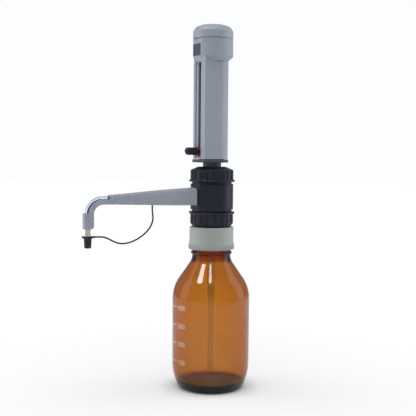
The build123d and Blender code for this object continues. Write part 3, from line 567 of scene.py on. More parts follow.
def bottle_side(body, neck, sweep, corner, floor, shoulder, blend):
    """Half outline from the floor to the neck: a corner arc, a wide sweep, the straight wall, the
    shoulder's arc, a straight slope and a hollow arc, each tangent to the next."""
    run = (BOTTLE_HIGH[0] - NECK_RADIUS) - (SHOULDER_RADIUS + NECK_BLEND) * (1 - math.cos(SHOULDER_SLOPE))
    rise = (SHOULDER_RADIUS + NECK_BLEND) * math.sin(SHOULDER_SLOPE)
    start = NECK_START - rise - run / math.tan(SHOULDER_SLOPE)
    sweep_u = body - sweep
    corner_v = floor + corner
    corner_u = sweep_u + math.sqrt((sweep - corner) ** 2 - (HEEL_TOP - corner_v) ** 2)
    lean = math.atan2(corner_v - HEEL_TOP, corner_u - sweep_u)
    slope_u = body - shoulder * (1 - math.cos(SHOULDER_SLOPE))
    slope_v = start + shoulder * math.sin(SHOULDER_SLOPE)
    blend_u = neck + blend * (1 - math.cos(SHOULDER_SLOPE))
    blend_v = slope_v + (slope_u - blend_u) / math.tan(SHOULDER_SLOPE)
    neck_v = blend_v + blend * math.sin(SHOULDER_SLOPE)
    return np.concatenate(
        [
            arc(corner_u, corner_v, corner, -math.pi / 2, lean, 8),
            arc(sweep_u, HEEL_TOP, sweep, lean, 0.0, 10)[1:],
            arc(body - shoulder, start, shoulder, 0.0, SHOULDER_SLOPE, 16),
            arc(neck + blend, neck_v, blend, math.pi + SHOULDER_SLOPE, math.pi, 10),
        ]
    )


def make_bottle(settings):
    """Amber glass turned from its outline: r and z of the outside, over the rim, and back inside to the
    floor; the neck's radius grows by a helix that rises one pitch a turn and fades at both its ends."""
    wall = settings.wall / MM
    thread = settings.thread_height / MM
    top = BOTTLE_HIGH[2]
    outer = bottle_side(
        BOTTLE_HIGH[0], NECK_RADIUS, HEEL_SWEEP, HEEL_CORNER, 0.0, SHOULDER_RADIUS, NECK_BLEND
    )
    inner = bottle_side(
        BOTTLE_HIGH[0] - wall,
        MOUTH_RADIUS,
        HEEL_SWEEP - wall,
        INNER_HEEL_CORNER,
        PUNT + FLOOR,
        SHOULDER_RADIUS - wall,
        NECK_BLEND + wall,
    )
    punt_radius = outer[0, 0] - FOOT_RING
    sphere = (punt_radius**2 + PUNT**2) / (2 * PUNT)
    reach = np.linspace(0.0, punt_radius, 12)
    punt = np.stack([reach, PUNT - sphere + np.sqrt(sphere**2 - reach**2)], 1)
    bead_mid = (BEAD_LOW + BEAD_HIGH) / 2
    bead_half = (BEAD_HIGH - BEAD_LOW) / 2
    bead_turn = np.linspace(-math.pi / 2, math.pi / 2, 13)
    bead_out = NECK_RADIUS + (BEAD_RADIUS - NECK_RADIUS) * np.cos(bead_turn)
    bead = np.stack([bead_out, bead_mid + bead_half * np.sin(bead_turn)], 1)
    neck_rows = np.linspace(BEAD_HIGH + 0.5, top - RIM_ROUND, 56)
    neck = np.stack([np.full_like(neck_rows, THREAD_ROOT), neck_rows], 1)
    rim = rounded(
        [
            (THREAD_ROOT, top - RIM_ROUND),
            (THREAD_ROOT, top, 1.2),
            (MOUTH_RADIUS, top, RIM_ROUND),
            (MOUTH_RADIUS, top - 3.0),
        ]
    )[1:]
    outline = np.concatenate([punt, outer, bead, neck, rim, inner[::-1], [[0.0, PUNT + FLOOR]]])

    def helix(turn, height, radius):
        grown = np.zeros_like(radius)
        for lap in range(THREAD_LAPS):
            offset = (height - THREAD_START - THREAD_PITCH * (lap + turn / TURN)) / THREAD_HALF
            fade = 1.0
            if lap == 0:
                fade = np.clip(turn / THREAD_FADE, 0, 1)
            if lap == THREAD_LAPS - 1:
                fade = np.clip((TURN - turn) / THREAD_FADE, 0, 1)
            grown = np.maximum(grown, fade * np.exp(-offset**4))
        on_neck = (height > BEAD_HIGH) & (radius > THREAD_ROOT - 0.01)
        return radius + np.where(on_neck, thread * grown, 0.0)

    piece = turned_object("amber_bottle", outline, 192, helix)
    dress(piece, "bottle", material("amber_glass"), ["bottle"])


# Graduation on the bottle: a plain scale from 100 to 400
LOW_MARK_Z = 33.3
LONG_MARK = (math.radians(148), math.radians(182.0))
SHORT_MARK = (math.radians(148), math.radians(170.0))
NUMBER_TURN = math.radians(186.0)
ENAMEL_BED = 0.035
ENAMEL_WALL = 0.03
MARKS = 7
HUNDREDS = 4
LINE_POINTS = 25
NUMBER_WIDTH = 1.06
CAPITAL_SHARE = 0.72
STROKE_CHANGE = -0.016


def text_mesh(words, height):
    """Mesh of a line of plain numbers, its foot at the origin, cut fine enough to be bent."""
    curve = bpy.data.curves.new("number", "FONT")
    curve.body = words
    curve.size = height / CAPITAL_SHARE
    curve.space_character = 1.02
    curve.offset = STROKE_CHANGE * curve.size
    curve.resolution_u = 3
    carrier = bpy.data.objects.new("number", curve)
    mesh = bpy.data.meshes.new_from_object(carrier)
    bpy.data.objects.remove(carrier)
    bpy.data.curves.remove(curve)
    return mesh


def mesh_arrays(mesh):
    """Points and faces of a mesh as an array and a list."""
    points = np.zeros(len(mesh.vertices) * 3)
    mesh.vertices.foreach_get("co", points)
    return points.reshape(-1, 3), [list(face.vertices) for face in mesh.polygons]


def joined(parts):
    """One list of points and faces from several."""
    points, faces, start = [], [], 0
    for part_points, part_faces in parts:
        points.append(np.asarray(part_points, float).reshape(-1, 3))
        faces.extend([[index + start for index in face] for face in part_faces])
        start += len(points[-1])
    return np.concatenate(points), faces


def number_arrays(words, height):
    """Points and faces of plain numbers laid flat."""
    mesh = text_mesh(words, height)
    points, faces = mesh_arrays(mesh)
    bpy.data.meshes.remove(mesh)
    return points, faces


def make_graduation(settings):
    """White enamel marks: each line and number is laid flat and then bent onto the glass, where the
    place along a line is the arc's length and the height stays."""
    radius = BOTTLE_HIGH[0] + ENAMEL_BED
    line = settings.mark_line / MM
    step = settings.mark_step / MM
    parts = []
    for number in range(MARKS):
        height = LOW_MARK_Z + number * step / 2
        start, end = LONG_MARK if number % 2 == 0 else SHORT_MARK
        turn = np.linspace(start, end, LINE_POINTS)[None, :]
        rows = np.array([-line / 2, line / 2])[:, None] + height
        points = np.stack(
            [radius * np.cos(turn) + 0 * rows, radius * np.sin(turn) + 0 * rows, rows + 0 * turn], 2
        )
        parts.append((points, grid_faces(2, LINE_POINTS)))
    for hundred in range(1, HUNDREDS + 1):
        flat, faces = number_arrays(str(100 * hundred), settings.mark_height / MM)
        turn = NUMBER_TURN + flat[:, 0] * NUMBER_WIDTH / radius
        height = LOW_MARK_Z + (hundred - 1) * step + flat[:, 1] - settings.mark_height / MM / 2
        parts.append((np.stack([radius * np.cos(turn), radius * np.sin(turn), height], 1), faces))
    points, faces = joined(parts)
    piece = object_of("bottle_graduation", points, faces)
    outward(piece)
    thicken(piece, ENAMEL_WALL)
    enamel = moulded("enamel_finish", tuple(settings.enamel), 0.4, 0.000006, 0.05, 3000.0)
    dress(piece, "bottle", enamel.material)


def turn_faces(piece, looks_wrong):
    """Turns round the faces of an open skin that look the wrong way."""
    made = bmesh.new()
    made.from_mesh(piece.data)
    made.normal_update()
    bmesh.ops.reverse_faces(made, faces=[face for face in made.faces if looks_wrong(face)])
    made.to_mesh(piece.data)
    made.free()


def outward(piece):
    """Turns an open skin's faces away from the Z axis."""
    turn_faces(piece, lambda face: face.normal.xy.dot(face.calc_center_median().xy) < 0)


def face_to(piece, direction):
    """Turns an open skin's faces towards a direction."""
    turn_faces(piece, lambda face: face.normal.dot(Vector(direction)) < 0)


def thicken(piece, thickness):
    """Gives a skin a wall behind it."""
    solid = piece.modifiers.new("wall", "SOLIDIFY")
    solid.thickness = thickness * MM
    solid.offset = -1.0


# Adapter, ring nuts, valve block and sleeve
ADAPTER_BEAD = 25.6
ADAPTER_SIDE = 24.5
ADAPTER_BOSS = 14.6
ADAPTER_FLANGE = 16.9
ADAPTER_BORE = 11.5
SKIRT_BORE = 22.6
SKIRT_TOP = ADAPTER_LOW[2] + 25.0
FLANGE_LOW = ADAPTER_HIGH[2] - 2.1
NUT_RADIUS = 23.8
NUT_FLANGE = UPPER_NUT_HIGH[0]
NUT_FLANGE_HEIGHT = 2.3
NUT_SHOULDER = 3.6
NUT_BORE = 17.3
NUT_LIP = 3.7
BLOCK_STEP = 22.0
SPIGOT = 17.0
DRUM_LOW = OUTLET_Z - 13.5
DRUM_HIGH = DRUM_LOW + 28.4
STEP_HEIGHT = 2.1
SLEEVE_RADIUS = 10.1
SLEEVE_BORE = 8.4
CLAMP_FLANGE = 2.8
SKIRT_DECK = 4.5
SKIRT_EDGE = 24.1
KNURL_HEIGHT = 7.4
KNURL_POINTS = 8
RIB_POINTS = 16
BLOCK_BORE = 8.0
BLOCK_BORE_DEPTH = 4.0


def teeth(turn, count, share, soft):
    """Wave from 0 in a groove to 1 on a crest, count times a turn: crests take the share of a pitch
    and their sides are as soft as said, both in shares of a pitch."""
    place = np.abs((turn * count / TURN) % 1.0 - 0.5)
    return np.clip((share / 2 + soft / 2 - place) / soft, 0.0, 1.0)


def eased(value):
    """Smooth step from 0 to 1."""
    value = np.clip(value, 0.0, 1.0)
    return value * value * (3 - 2 * value)


def make_adapter(settings):
    """Adapter turned from r and z; on its foot the radius drops between knurls, deepest at the foot's
    middle and running out towards the side."""
    edge = settings.edge / MM
    depth = settings.knurl_depth / MM
    low, top = ADAPTER_LOW[2], SKIRT_TOP
    side = rounded(
        [
            (SKIRT_BORE, low),
            (SKIRT_EDGE, low),
            (ADAPTER_BEAD - 0.3, low + 0.7, 0.8),
            (ADAPTER_BEAD, low + 2.0, 1.6),
            (ADAPTER_BEAD, low + 5.0, 1.6),
            (ADAPTER_SIDE + 0.35, low + 6.9, 1.2),
            (ADAPTER_SIDE, low + 9.0, 2.0),
            (ADAPTER_SIDE, top, 1.0),
            (ADAPTER_BOSS, top, edge),
            (ADAPTER_BOSS, FLANGE_LOW, edge),
            (ADAPTER_FLANGE, FLANGE_LOW, edge),
            (ADAPTER_FLANGE, ADAPTER_HIGH[2], edge),
            (ADAPTER_BORE, ADAPTER_HIGH[2], edge),
            (ADAPTER_BORE, top - SKIRT_DECK, edge),
            (SKIRT_BORE, top - SKIRT_DECK, edge),
            (SKIRT_BORE, low),
        ]
    )[:-1]

    def knurls(turn, height, radius):
        outside = radius > ADAPTER_SIDE - 0.6
        reach = eased((height - low) / 0.6) * eased((low + KNURL_HEIGHT - height) / 1.6)
        groove = 1 - teeth(turn, settings.knurls, 0.5, 0.42)
        return radius - np.where(outside, depth * reach * groove, 0.0)

    outline = refined(side, 0.9)
    segments = settings.knurls * KNURL_POINTS
    piece = turned_object("neck_adapter_shell", outline, segments, knurls, closed=True, angle=50.0)
    dress(piece, "neck_adapter", material("adapter_plastic"), ["neck_adapter"])


def make_ring_nut(settings, name, node, body, face, lip, flipped):
    """Ring nut turned from r and z: the ribs' wave lowers the radius between the flange and the
    shoulder, and fades in along the cone of the shoulder."""
    low, high = (LOWER_NUT_LOW, LOWER_NUT_HIGH) if flipped else (UPPER_NUT_LOW, UPPER_NUT_HIGH)
    height = high[2] - low[2]
    edge = settings.edge / MM
    depth = settings.rib_depth / MM
    outline = rounded(
        [
            (NUT_BORE, 0.0),
            (NUT_FLANGE, 0.0, 0.5),
            (NUT_FLANGE, NUT_FLANGE_HEIGHT, 0.6),
            (NUT_RADIUS, NUT_FLANGE_HEIGHT, 0.25),
            (NUT_RADIUS, height - NUT_SHOULDER, 0.9),
            (face, height, 0.6),
            (lip, height, edge),
            (lip, height - NUT_LIP, edge),
            (NUT_BORE, height - NUT_LIP, edge),
            (NUT_BORE, 0.0),
        ]
    )[:-1]
    outline = refined(outline, 1.0)

    def ribs(turn, place, radius):
        outside = (place > NUT_FLANGE_HEIGHT - 0.01) & (radius > face - 0.2)
        slope = (NUT_RADIUS - face) / NUT_SHOULDER
        cone = np.where(place > height - NUT_SHOULDER - 0.5, min(1.0, 1.6 / max(slope, 0.8)), 1.0)
        reach = eased((height - 0.8 - place) / 1.6) * cone
        groove = 1 - teeth(turn, settings.ribs, 0.55, 0.16)
        return radius - np.where(outside, depth * reach * groove, 0.0)

    segments = settings.ribs * RIB_POINTS
    points = turned_points(outline, segments, ribs)
    points[..., 2] = high[2] - points[..., 2] if flipped else low[2] + points[..., 2]
    faces = grid_faces(len(outline), segments, close_rows=True, close_columns=True)
    piece = object_of(name, points, faces, 40.0)
    dress(piece, body, material("navy_plastic"), [node])


def make_ring_nuts(settings):
    """Both ring nuts; the lower one stands on its head, with its flange up."""
    make_ring_nut(
        settings, "lower_ring_nut_ribbed", "lower_ring_nut", "neck_adapter", 20.9, ADAPTER_BOSS + 0.3, True
    )
    make_ring_nut(
        settings, "upper_ring_nut_ribbed", "upper_ring_nut", "valve_block", 15.6, SLEEVE_RADIUS + 0.3, False
    )


def make_block(settings):
    """Valve block: the drum between its two steps and spigots, with soft edges, turned from r and z."""
    edge = settings.edge / MM
    low, high = BLOCK_LOW[2], BLOCK_HIGH[2]
    outline = rounded(
        [
            (0.0, low),
            (SPIGOT, low, edge),
            (SPIGOT, DRUM_LOW - STEP_HEIGHT, 0.2),
            (BLOCK_STEP, DRUM_LOW - STEP_HEIGHT, edge),
            (BLOCK_STEP, DRUM_LOW, 0.2),
            (BLOCK_HIGH[0], DRUM_LOW, 0.6),
            (BLOCK_HIGH[0], DRUM_HIGH, 0.6),
            (BLOCK_STEP, DRUM_HIGH, 0.2),
            (BLOCK_STEP, DRUM_HIGH + STEP_HEIGHT, edge),
            (SPIGOT, DRUM_HIGH + STEP_HEIGHT, 0.2),
            (SPIGOT, high, edge),
            (BLOCK_BORE, high, 0.2),
            (BLOCK_BORE, high - BLOCK_BORE_DEPTH, 0.2),
            (0.0, high - BLOCK_BORE_DEPTH),
        ]
    )
    piece = turned_object("valve_block_drum", refined(outline, 3.0), 192)
    dress(piece, "valve_block", material("navy_plastic"), ["valve_block"])


def make_sleeve(settings):
    """Guide sleeve turned from r and z, with its clamped foot and a rounded rim."""
    edge = settings.edge / MM
    low, high = SLEEVE_LOW[2], SLEEVE_HIGH[2]
    outline = rounded(
        [
            (SLEEVE_BORE, low),
            (SLEEVE_HIGH[0], low, edge),
            (SLEEVE_HIGH[0], low + CLAMP_FLANGE, edge),
            (SLEEVE_RADIUS, low + CLAMP_FLANGE, edge),
            (SLEEVE_RADIUS, high, edge),
            (SLEEVE_BORE, high, edge),
            (SLEEVE_BORE, low),
        ]
    )[:-1]
    piece = turned_object("guide_sleeve", refined(outline, 6.0), 128, closed=True)
    dress(piece, "valve_block", material("dark_grey_plastic"), ["cylinder_sleeve"])


# Pump housing: two half shells, foot plate and cap
FRONT_FACE = 17.7
FRONT_HALF = 10.2
SIDE_REACH = 16.35
SIDE_HALF = 15.3
REAR_REACH = 17.3
REAR_CROWN = 0.15
HOUSING_BORE = 13.4
HEAD_RADIUS = 22.15
HEAD_FLAT = 19.6
HEAD_BORE = 17.0
HEAD_WEB = 4.0
CONE_LOW = SHELL_HIGH[2] - 23.5
CONE_HIGH = SHELL_HIGH[2] - 19.0
RECESS_FLOOR = -STRIP_LOW[0]
RECESS_HALF = 7.3
RECESS_LOW = SHELL_LOW[2] + 1.6
RECESS_HIGH = CONE_LOW - 1.5
SLOT_HALF = 3.5
RAIL_HALF = 5.3
RAIL_REACH = 14.4
CAP_WALL = 8.1
CAP_SEAT = CONE_LOW + 24.0
FIT = 0.1
SCREW_BORE = 2.1
TRAVEL = 84.0
SCALE_NUMBERS = 10
NUMBER_HEIGHT = 1.5
FLUTES = 10
FLUTE_DEPTH = 0.5


def thick_grid(outer, inner):
    """Points and faces of a wall between two grids of the same shape: both skins, and the four edges
    where outer and inner lines are stitched together."""
    rows, columns = outer.shape[:2]
    faces = grid_faces(rows, columns) + grid_faces(rows, columns, start=rows * columns)
    number = np.arange(rows * columns).reshape(rows, columns)
    for edge in (number[0], number[-1], number[:, 0], number[:, -1]):
        back = edge + rows * columns
        faces += np.stack([edge[:-1], edge[1:], back[1:], back[:-1]], 1).tolist()
    return np.concatenate([outer.reshape(-1, 3), inner.reshape(-1, 3)]), faces


def column_path(grow=0.0):
    """Half plan of the housing from the front's middle to the back's: flat front, slanted corner, flat
    side and round back. Distances are X and the distance from the seam."""
    radius = SIDE_HALF + REAR_CROWN + grow
    centre = REAR_REACH - SIDE_HALF - REAR_CROWN
    half = SIDE_HALF + grow
    side_end = math.acos(math.sqrt(radius**2 - half**2) / radius)
    front = rounded(
        [
            (-FRONT_FACE - grow, RECESS_HALF),
            (-FRONT_FACE - grow, FRONT_HALF, 1.3),
            (-SIDE_REACH - grow, half, 0.8),
            (centre, half),
        ],
        4,
    )
    return np.concatenate([refined(front, 1.3), arc(centre, 0.0, radius, side_end, 0.0, 24)[1:]])


def polar(radius, path):
    """Points at the path's own angles, at this radius."""
    length = np.linalg.norm(path, axis=1, keepdims=True)
    return path / length * np.asarray(radius, float).reshape(-1, 1)


def housing_row(height, recessed, slotted, seam, bored):
    """One row of a half shell: the outer and the inner line at a height. The outer line is the larger
    of the column's plan and of the head's circle cut by its flat; the inner one is the bore with the
    slide's rail."""
    path = column_path()
    start = SLOT_HALF if slotted else seam / 2
    floor = -RECESS_FLOOR if recessed else -FRONT_FACE
    front = np.array([[floor, start], [floor, RAIL_HALF], [floor, RAIL_HALF], [floor, RECESS_HALF]])
    path = np.concatenate([front, path])
    path[-1, 1] = seam / 2
    if height > CONE_LOW:
        grown = min(1.0, (height - CONE_LOW) / (CONE_HIGH - CONE_LOW))
        circle = REAR_REACH + (HEAD_RADIUS - REAR_REACH) * grown
        angle = np.arctan2(path[:, 1], path[:, 0])
        with np.errstate(divide="ignore"):
            flat = np.where(path[:, 0] < 0, -HEAD_FLAT / np.cos(angle), 99.0)
        head = np.minimum(circle, np.abs(flat))
        own = np.linalg.norm(path, axis=1) if height < CONE_HIGH else 0.0
        path = polar(np.maximum(head, own), path)
        path[0, 1] = path[-1, 1] = seam / 2
    bore = HEAD_BORE if bored else HOUSING_BORE
    inner = polar(np.full(len(path), bore), path)
    inner[0] = (-math.sqrt(bore**2 - start**2), start)
    inner[-1] = (math.sqrt(bore**2 - seam**2 / 4), seam / 2)
    if height < RECESS_HIGH + 0.6:
        inner[:2] = [(-RAIL_REACH, start), (-RAIL_REACH, RAIL_HALF)]
        inner[2] = (-math.sqrt(bore**2 - RAIL_HALF**2), RAIL_HALF)
    return path, inner


def housing_rows():
    """Rows of the half shell as (height, recessed, slotted, bored), from the foot to the head's rim."""
    slot_low, slot_high = RECESS_LOW + 1.0, RECESS_HIGH - 0.7
    ledge = CONE_HIGH + HEAD_WEB
    rows = [
        (SHELL_LOW[2], False, False, False),
        (RECESS_LOW, False, False, False),
        (RECESS_LOW, True, False, False),
        (slot_low, True, False, False),
    ]
    rows += [(height, True, True, False) for height in np.linspace(slot_low, slot_high, 24)]
    rows += [
        (slot_high, True, False, False),
        (RECESS_HIGH, True, False, False),
        (RECESS_HIGH, False, False, False),
        (RECESS_HIGH + 0.5, False, False, False),
        (RECESS_HIGH + 0.7, False, False, False),
    ]
    rows += [(height, False, False, False) for height in np.linspace(CONE_LOW, CONE_HIGH, 25)]
    rows += [(ledge, False, False, False), (ledge, False, False, True), (SHELL_HIGH[2], False, False, True)]
    return rows


def bevel(piece, width, segments=2, angle=38.0):
    """Rounds the crisp edges of a piece by a width in millimetres."""
    rounding = piece.modifiers.new("edges", "BEVEL")
    rounding.width = width * MM
    rounding.segments = segments
    rounding.limit_method = "ANGLE"
    rounding.angle_limit = math.radians(angle)
    rounding.harden_normals = False
    rounding.use_clamp_overlap = True


def make_shells(settings):
    """Both half shells: rows of the housing's plan stacked by height, one side the other's mirror."""
    seam = settings.seam / MM
    halves = (("housing_shell_front", "housing_front", -1), ("housing_shell_rear", "housing_rear", 1))
    for name, node, side in halves:
        outer, inner = [], []
        for height, recessed, slotted, bored in housing_rows():
            lines = housing_row(height, recessed, slotted, seam, bored)
            for stack, line in zip((outer, inner), lines):
                stack.append(np.stack([line[:, 0], side * line[:, 1], np.full(len(line), height)], 1))
        points, faces = thick_grid(np.array(outer), np.array(inner))
        piece = object_of(name, points, faces, 30.0)
        bevel(piece, 0.28)
        dress(piece, "pump_housing", material("grey_plastic"), [node])


def make_foot():
    """Foot plate: the housing's plan, a little larger, between its two faces, round the sleeve's bore,
    with the rim that locates the shells."""
    half = column_path(-FOOT_LOW[1] - SIDE_HALF)
    half = np.concatenate([[[half[0, 0], 0.0]], half])
    plan = np.concatenate([half, half[::-1][1:-1] * np.array([1, -1])])
    bore = SLEEVE_RADIUS + 0.25
    rim = HOUSING_BORE - FIT
    plate_top = SHELL_LOW[2] - 0.5
    soft = 0.5
    lines = [
        (bore, FOOT_LOW[2], None),
        (None, FOOT_LOW[2], soft),
        (None, FOOT_LOW[2] + soft, 0.0),
        (None, plate_top - soft, 0.0),
        (None, plate_top, soft),
        (rim, plate_top, None),
        (rim, FOOT_HIGH[2], None),
        (bore, FOOT_HIGH[2], None),
    ]
    rows = []
    for radius, height, inset in lines:
        length = np.linalg.norm(plan, axis=1)
        line = polar(np.full(len(plan), radius) if inset is None else length - inset, plan)
        rows.append(np.stack([line[:, 0], line[:, 1], np.full(len(line), height)], 1))
    faces = grid_faces(len(rows), len(plan), close_rows=True, close_columns=True)
    piece = object_of("housing_foot_plate", np.array(rows), faces, 40.0)
    dress(piece, "pump_housing", material("dark_grey_plastic"), ["housing_foot"])


def make_cap():
    """Top cap turned from r and z: straight wall, wide dome, a shallow ring step and the crown."""
    low, high = CAP_LOW[2], CAP_HIGH[2]
    seat = CAP_SEAT
    spigot = HEAD_BORE - FIT
    wall_top = seat + CAP_WALL
    outline = rounded(
        [
            (0.0, high - 3.0),
            (spigot - 2.2, high - 5.0, 2.0),
            (spigot - 2.2, low),
            (spigot, low),
            (spigot, seat),
            (HEAD_RADIUS, seat, 0.35),
            (HEAD_RADIUS, wall_top, 0.9),
            (HEAD_RADIUS - 0.9, wall_top + 0.9, 1.4),
            (19.4, wall_top + 4.6, 7.0),
            (14.6, high - 1.3, 4.0),
            (12.9, high - 0.55, 1.2),
            (5.0, high, 9.0),
            (0.0, high),
        ],
        8,
    )
    piece = turned_object("domed_top_cap", refined(outline, 2.5), 192, angle=32.0)
    dress(piece, "pump_housing", material("grey_plastic"), ["top_cap"])


# Window, volume scale, pointer and lock knob
def rounded_square(half_u, half_v, corner, steps=6):
    """Closed outline of a rectangle with round corners, from its first side round."""
    quarters = []
    for quarter, (sign_u, sign_v) in enumerate(((1, 1), (-1, 1), (-1, -1), (1, -1))):
        start = quarter * math.pi / 2
        centre_u, centre_v = sign_u * (half_u - corner), sign_v * (half_v - corner)
        quarters.append(arc(centre_u, centre_v, corner, start, start + math.pi / 2, steps))
    return np.concatenate(quarters)


def facing_front(depth, line):
    """Places an outline of y and z at a depth on the X axis."""
    return np.stack([np.full(len(line), depth), line[:, 0], line[:, 1]], 1)


def closed_ends(rings):
    """The rings with each end's ring shrunk to its middle once more, so that both ends are closed."""
    ends = [ring.mean(0, keepdims=True).repeat(len(ring), 0) for ring in (rings[0], rings[-1])]
    return np.array([ends[0], *rings, ends[1]])


def make_window():
    """Range window: a rounded plate with a sunk middle, made of outlines set one inside the other."""
    middle = (WINDOW_LOW[2] + WINDOW_HIGH[2]) / 2
    half_u = WINDOW_HIGH[1]
    half_v = (WINDOW_HIGH[2] - WINDOW_LOW[2]) / 2
    face = WINDOW_LOW[0]
    rings = []
    for inset, depth in (
        (0.0, -HEAD_FLAT + 0.5),
        (0.0, face + 0.15),
        (0.15, face),
        (1.35, face),
        (1.55, face + 0.13),
        (3.0, face + 0.13),
    ):
        line = rounded_square(half_u - inset, half_v - inset, max(0.35, 1.5 - inset))
        rings.append(facing_front(depth, line + np.array([0.0, middle])))
    points = closed_ends(rings)
    faces = grid_faces(*points.shape[:2], close_columns=True)
    piece = object_of("range_window_plate", points, faces, 25.0)
    dress(piece, "pump_housing", material("window_plastic"), ["range_window"])


def flat_strip(y_low, y_high, z_low, z_high, depth):
    """Four points and one face of a rectangle that faces -X."""
    points = [[depth, y_low, z_low], [depth, y_high, z_low], [depth, y_high, z_high], [depth, y_low, z_high]]
    return np.array(points), [[0, 1, 2, 3]]


def make_scale(settings):
    """Volume scale: the pale film, and on it dark lines at even heights, longer at each fifth, with
    plain numbers from 1 to 10."""
    film = rounded_square((STRIP_HIGH[1] - STRIP_LOW[1]) / 2, (STRIP_HIGH[2] - STRIP_LOW[2]) / 2, 0.4, 4)
    film += np.array([(STRIP_LOW[1] + STRIP_HIGH[1]) / 2, (STRIP_LOW[2] + STRIP_HIGH[2]) / 2])
    face = STRIP_LOW[0]
    rings = closed_ends([facing_front(depth, film) for depth in (face + 0.2, face - 0.02)])
    piece = object_of("volume_scale_film", rings, grid_faces(4, len(film), close_columns=True), 25.0)
    dress(piece, "pump_housing", material("strip_film"), ["scale_strip"])
    proud = face - settings.proud / MM
    parts = []
    for number in range(settings.scale_steps + 1):
        height = POINTER_Z + TRAVEL * number / settings.scale_steps
        reach, thick = (1.3, 0.22) if number % 4 == 0 else (0.7, 0.16)
        inner = STRIP_LOW[1] + 0.1
        parts.append(flat_strip(inner, inner + reach, height - thick / 2, height + thick / 2, proud))
    for number in range(1, SCALE_NUMBERS + 1):
        flat, faces = number_arrays(str(number), NUMBER_HEIGHT)
        height = POINTER_Z + TRAVEL * number / SCALE_NUMBERS
        across = STRIP_HIGH[1] - 0.15 - flat[:, 0] * 0.72
        place = np.stack([np.full(len(flat), proud), across, height + flat[:, 1] - NUMBER_HEIGHT / 2], 1)
        parts.append((place, faces))
    points, faces = joined(parts)
    marks = object_of("volume_scale_marks", points, faces)
    face_to(marks, (-1.0, 0.0, 0.0))
    thicken(marks, 0.04)
    ink = moulded("scale_ink_finish", linear(40, 46, 62), 0.45, 0.000003, 0.05)
    dress(marks, "pump_housing", ink.material)


def along_x(points, height):
    """Turns points whose axis is Z to lie along -X at a height: z becomes the reach to -X."""
    return np.stack([-points[..., 2], points[..., 1], height + points[..., 0]], -1)


def make_pointer():
    """Pointer: a disc turned about the screw's axis, with a raised rim and a sunk face."""
    radius = POINTER_HIGH[1]
    back, front = -POINTER_HIGH[0], -POINTER_LOW[0]
    outline = rounded(
        [
            (SCREW_BORE, back),
            (radius, back, 0.2),
            (radius, front, 0.35),
            (radius - 0.9, front, 0.2),
            (radius - 1.2, front - 0.35, 0.2),
            (SCREW_BORE, front - 0.35),
            (SCREW_BORE, back),
        ]
    )[:-1]
    points = along_x(turned_points(outline, 96), POINTER_Z)
    faces = grid_faces(len(outline), 96, close_rows=True, close_columns=True)
    piece = object_of("volume_pointer", points, faces, 35.0)
    dress(piece, "volume_slide", material("red_plastic"), ["pointer"])


def make_knob():
    """Lock knob turned about its screw: flutes lower the radius between the collar and the domed end."""
    radius = KNOB_HIGH[1]
    foot, tip = -KNOB_HIGH[0], -KNOB_LOW[0]
    dome = radius * 0.85
    collar = rounded(
        [
            (SCREW_BORE, foot + 9.0),
            (SCREW_BORE, foot),
            (radius, foot, 0.3),
            (radius, foot + 1.3, 0.2),
            (radius - 0.25, foot + 1.6),
        ]
    )
    grip = np.stack([np.full(12, radius), np.linspace(foot + 2.2, tip - dome, 12)], 1)
    end = arc(0.0, 0.0, 1.0, 0.0, math.pi / 2, 10)[1:] * np.array([radius, dome])
    end += np.array([0.0, tip - dome])
    outline = np.concatenate([[[0.0, foot + 9.0]], collar, [[radius, foot + 2.0]], grip, end])
    outline[-1, 0] = 0.0

    def flutes(turn, place, size):
        reach = eased((place - foot - 1.9) / 0.6) * eased((tip - dome * 0.55 - place) / 1.8)
        groove = 1 - teeth(turn, FLUTES, 0.5, 0.4)
        return size - FLUTE_DEPTH * reach * groove * (size > 2.5)

    points = along_x(turned_points(outline, 160, flutes), POINTER_Z)
    piece = object_of("volume_lock_knob", points, grid_faces(len(outline), 160, close_columns=True), 40.0)
    dress(piece, "lock_knob", material("navy_plastic"), ["lock_knob"])


# Discharge arm, hose, nozzle and cap
BEND_RADIUS = 16.0
COVER_END = -COVER_LOW[0]
BEND_START = REACH - BEND_RADIUS
BEND_Z = OUTLET_Z - BEND_RADIUS
COLLAR_LOW = ARM_LOW[2]
COLLAR_HIGH = BEND_Z + 1.0
ARM_ROOT_HALF = 8.5
ARM_TIP_HALF = 4.7
ARM_ROOT_TOP = 10.6
ARM_TIP_TOP = 4.1
ARM_ROOT_DEPTH = 8.2
ARM_TIP_DEPTH = 5.7
ARM_WALL = 1.8
DRUM_SEAT = BLOCK_HIGH[0] + 0.05
HOSE_RADIUS = 3.05
HOSE_BORE = 2.1
GROOVE = 3.15
VALVE_ROOM = 4.5
VALVE_END = -VALVE_LOW[0] + 0.3
COLLAR_HALF = 4.9
HOSE_SIDES = 40
CAP_BORE = 3.12
CAP_FLUTES = 24
CAP_FLUTE_DEPTH = 0.16


def arm_sizes(reach):
    """Half width, top and depth of the arm at a distance from the axis: each goes from its root to its
    tip size with a slight sag between."""
    root = DRUM_SEAT - 3.05
    share = np.clip((reach - root) / (COVER_END - root), 0.0, 1.0)
    sag = 4 * share * (1 - share) ** 2
    half = ARM_ROOT_HALF + (ARM_TIP_HALF - ARM_ROOT_HALF) * share
    top = ARM_ROOT_TOP + (ARM_TIP_TOP - ARM_ROOT_TOP) * share + 1.1 * sag
    depth = ARM_ROOT_DEPTH - (ARM_ROOT_DEPTH - ARM_TIP_DEPTH) * share + 0.5 * sag
    flare = 0.35 * (1 - eased((reach - DRUM_SEAT - 1.2) / 0.8))
    return half + flare, top + flare, depth


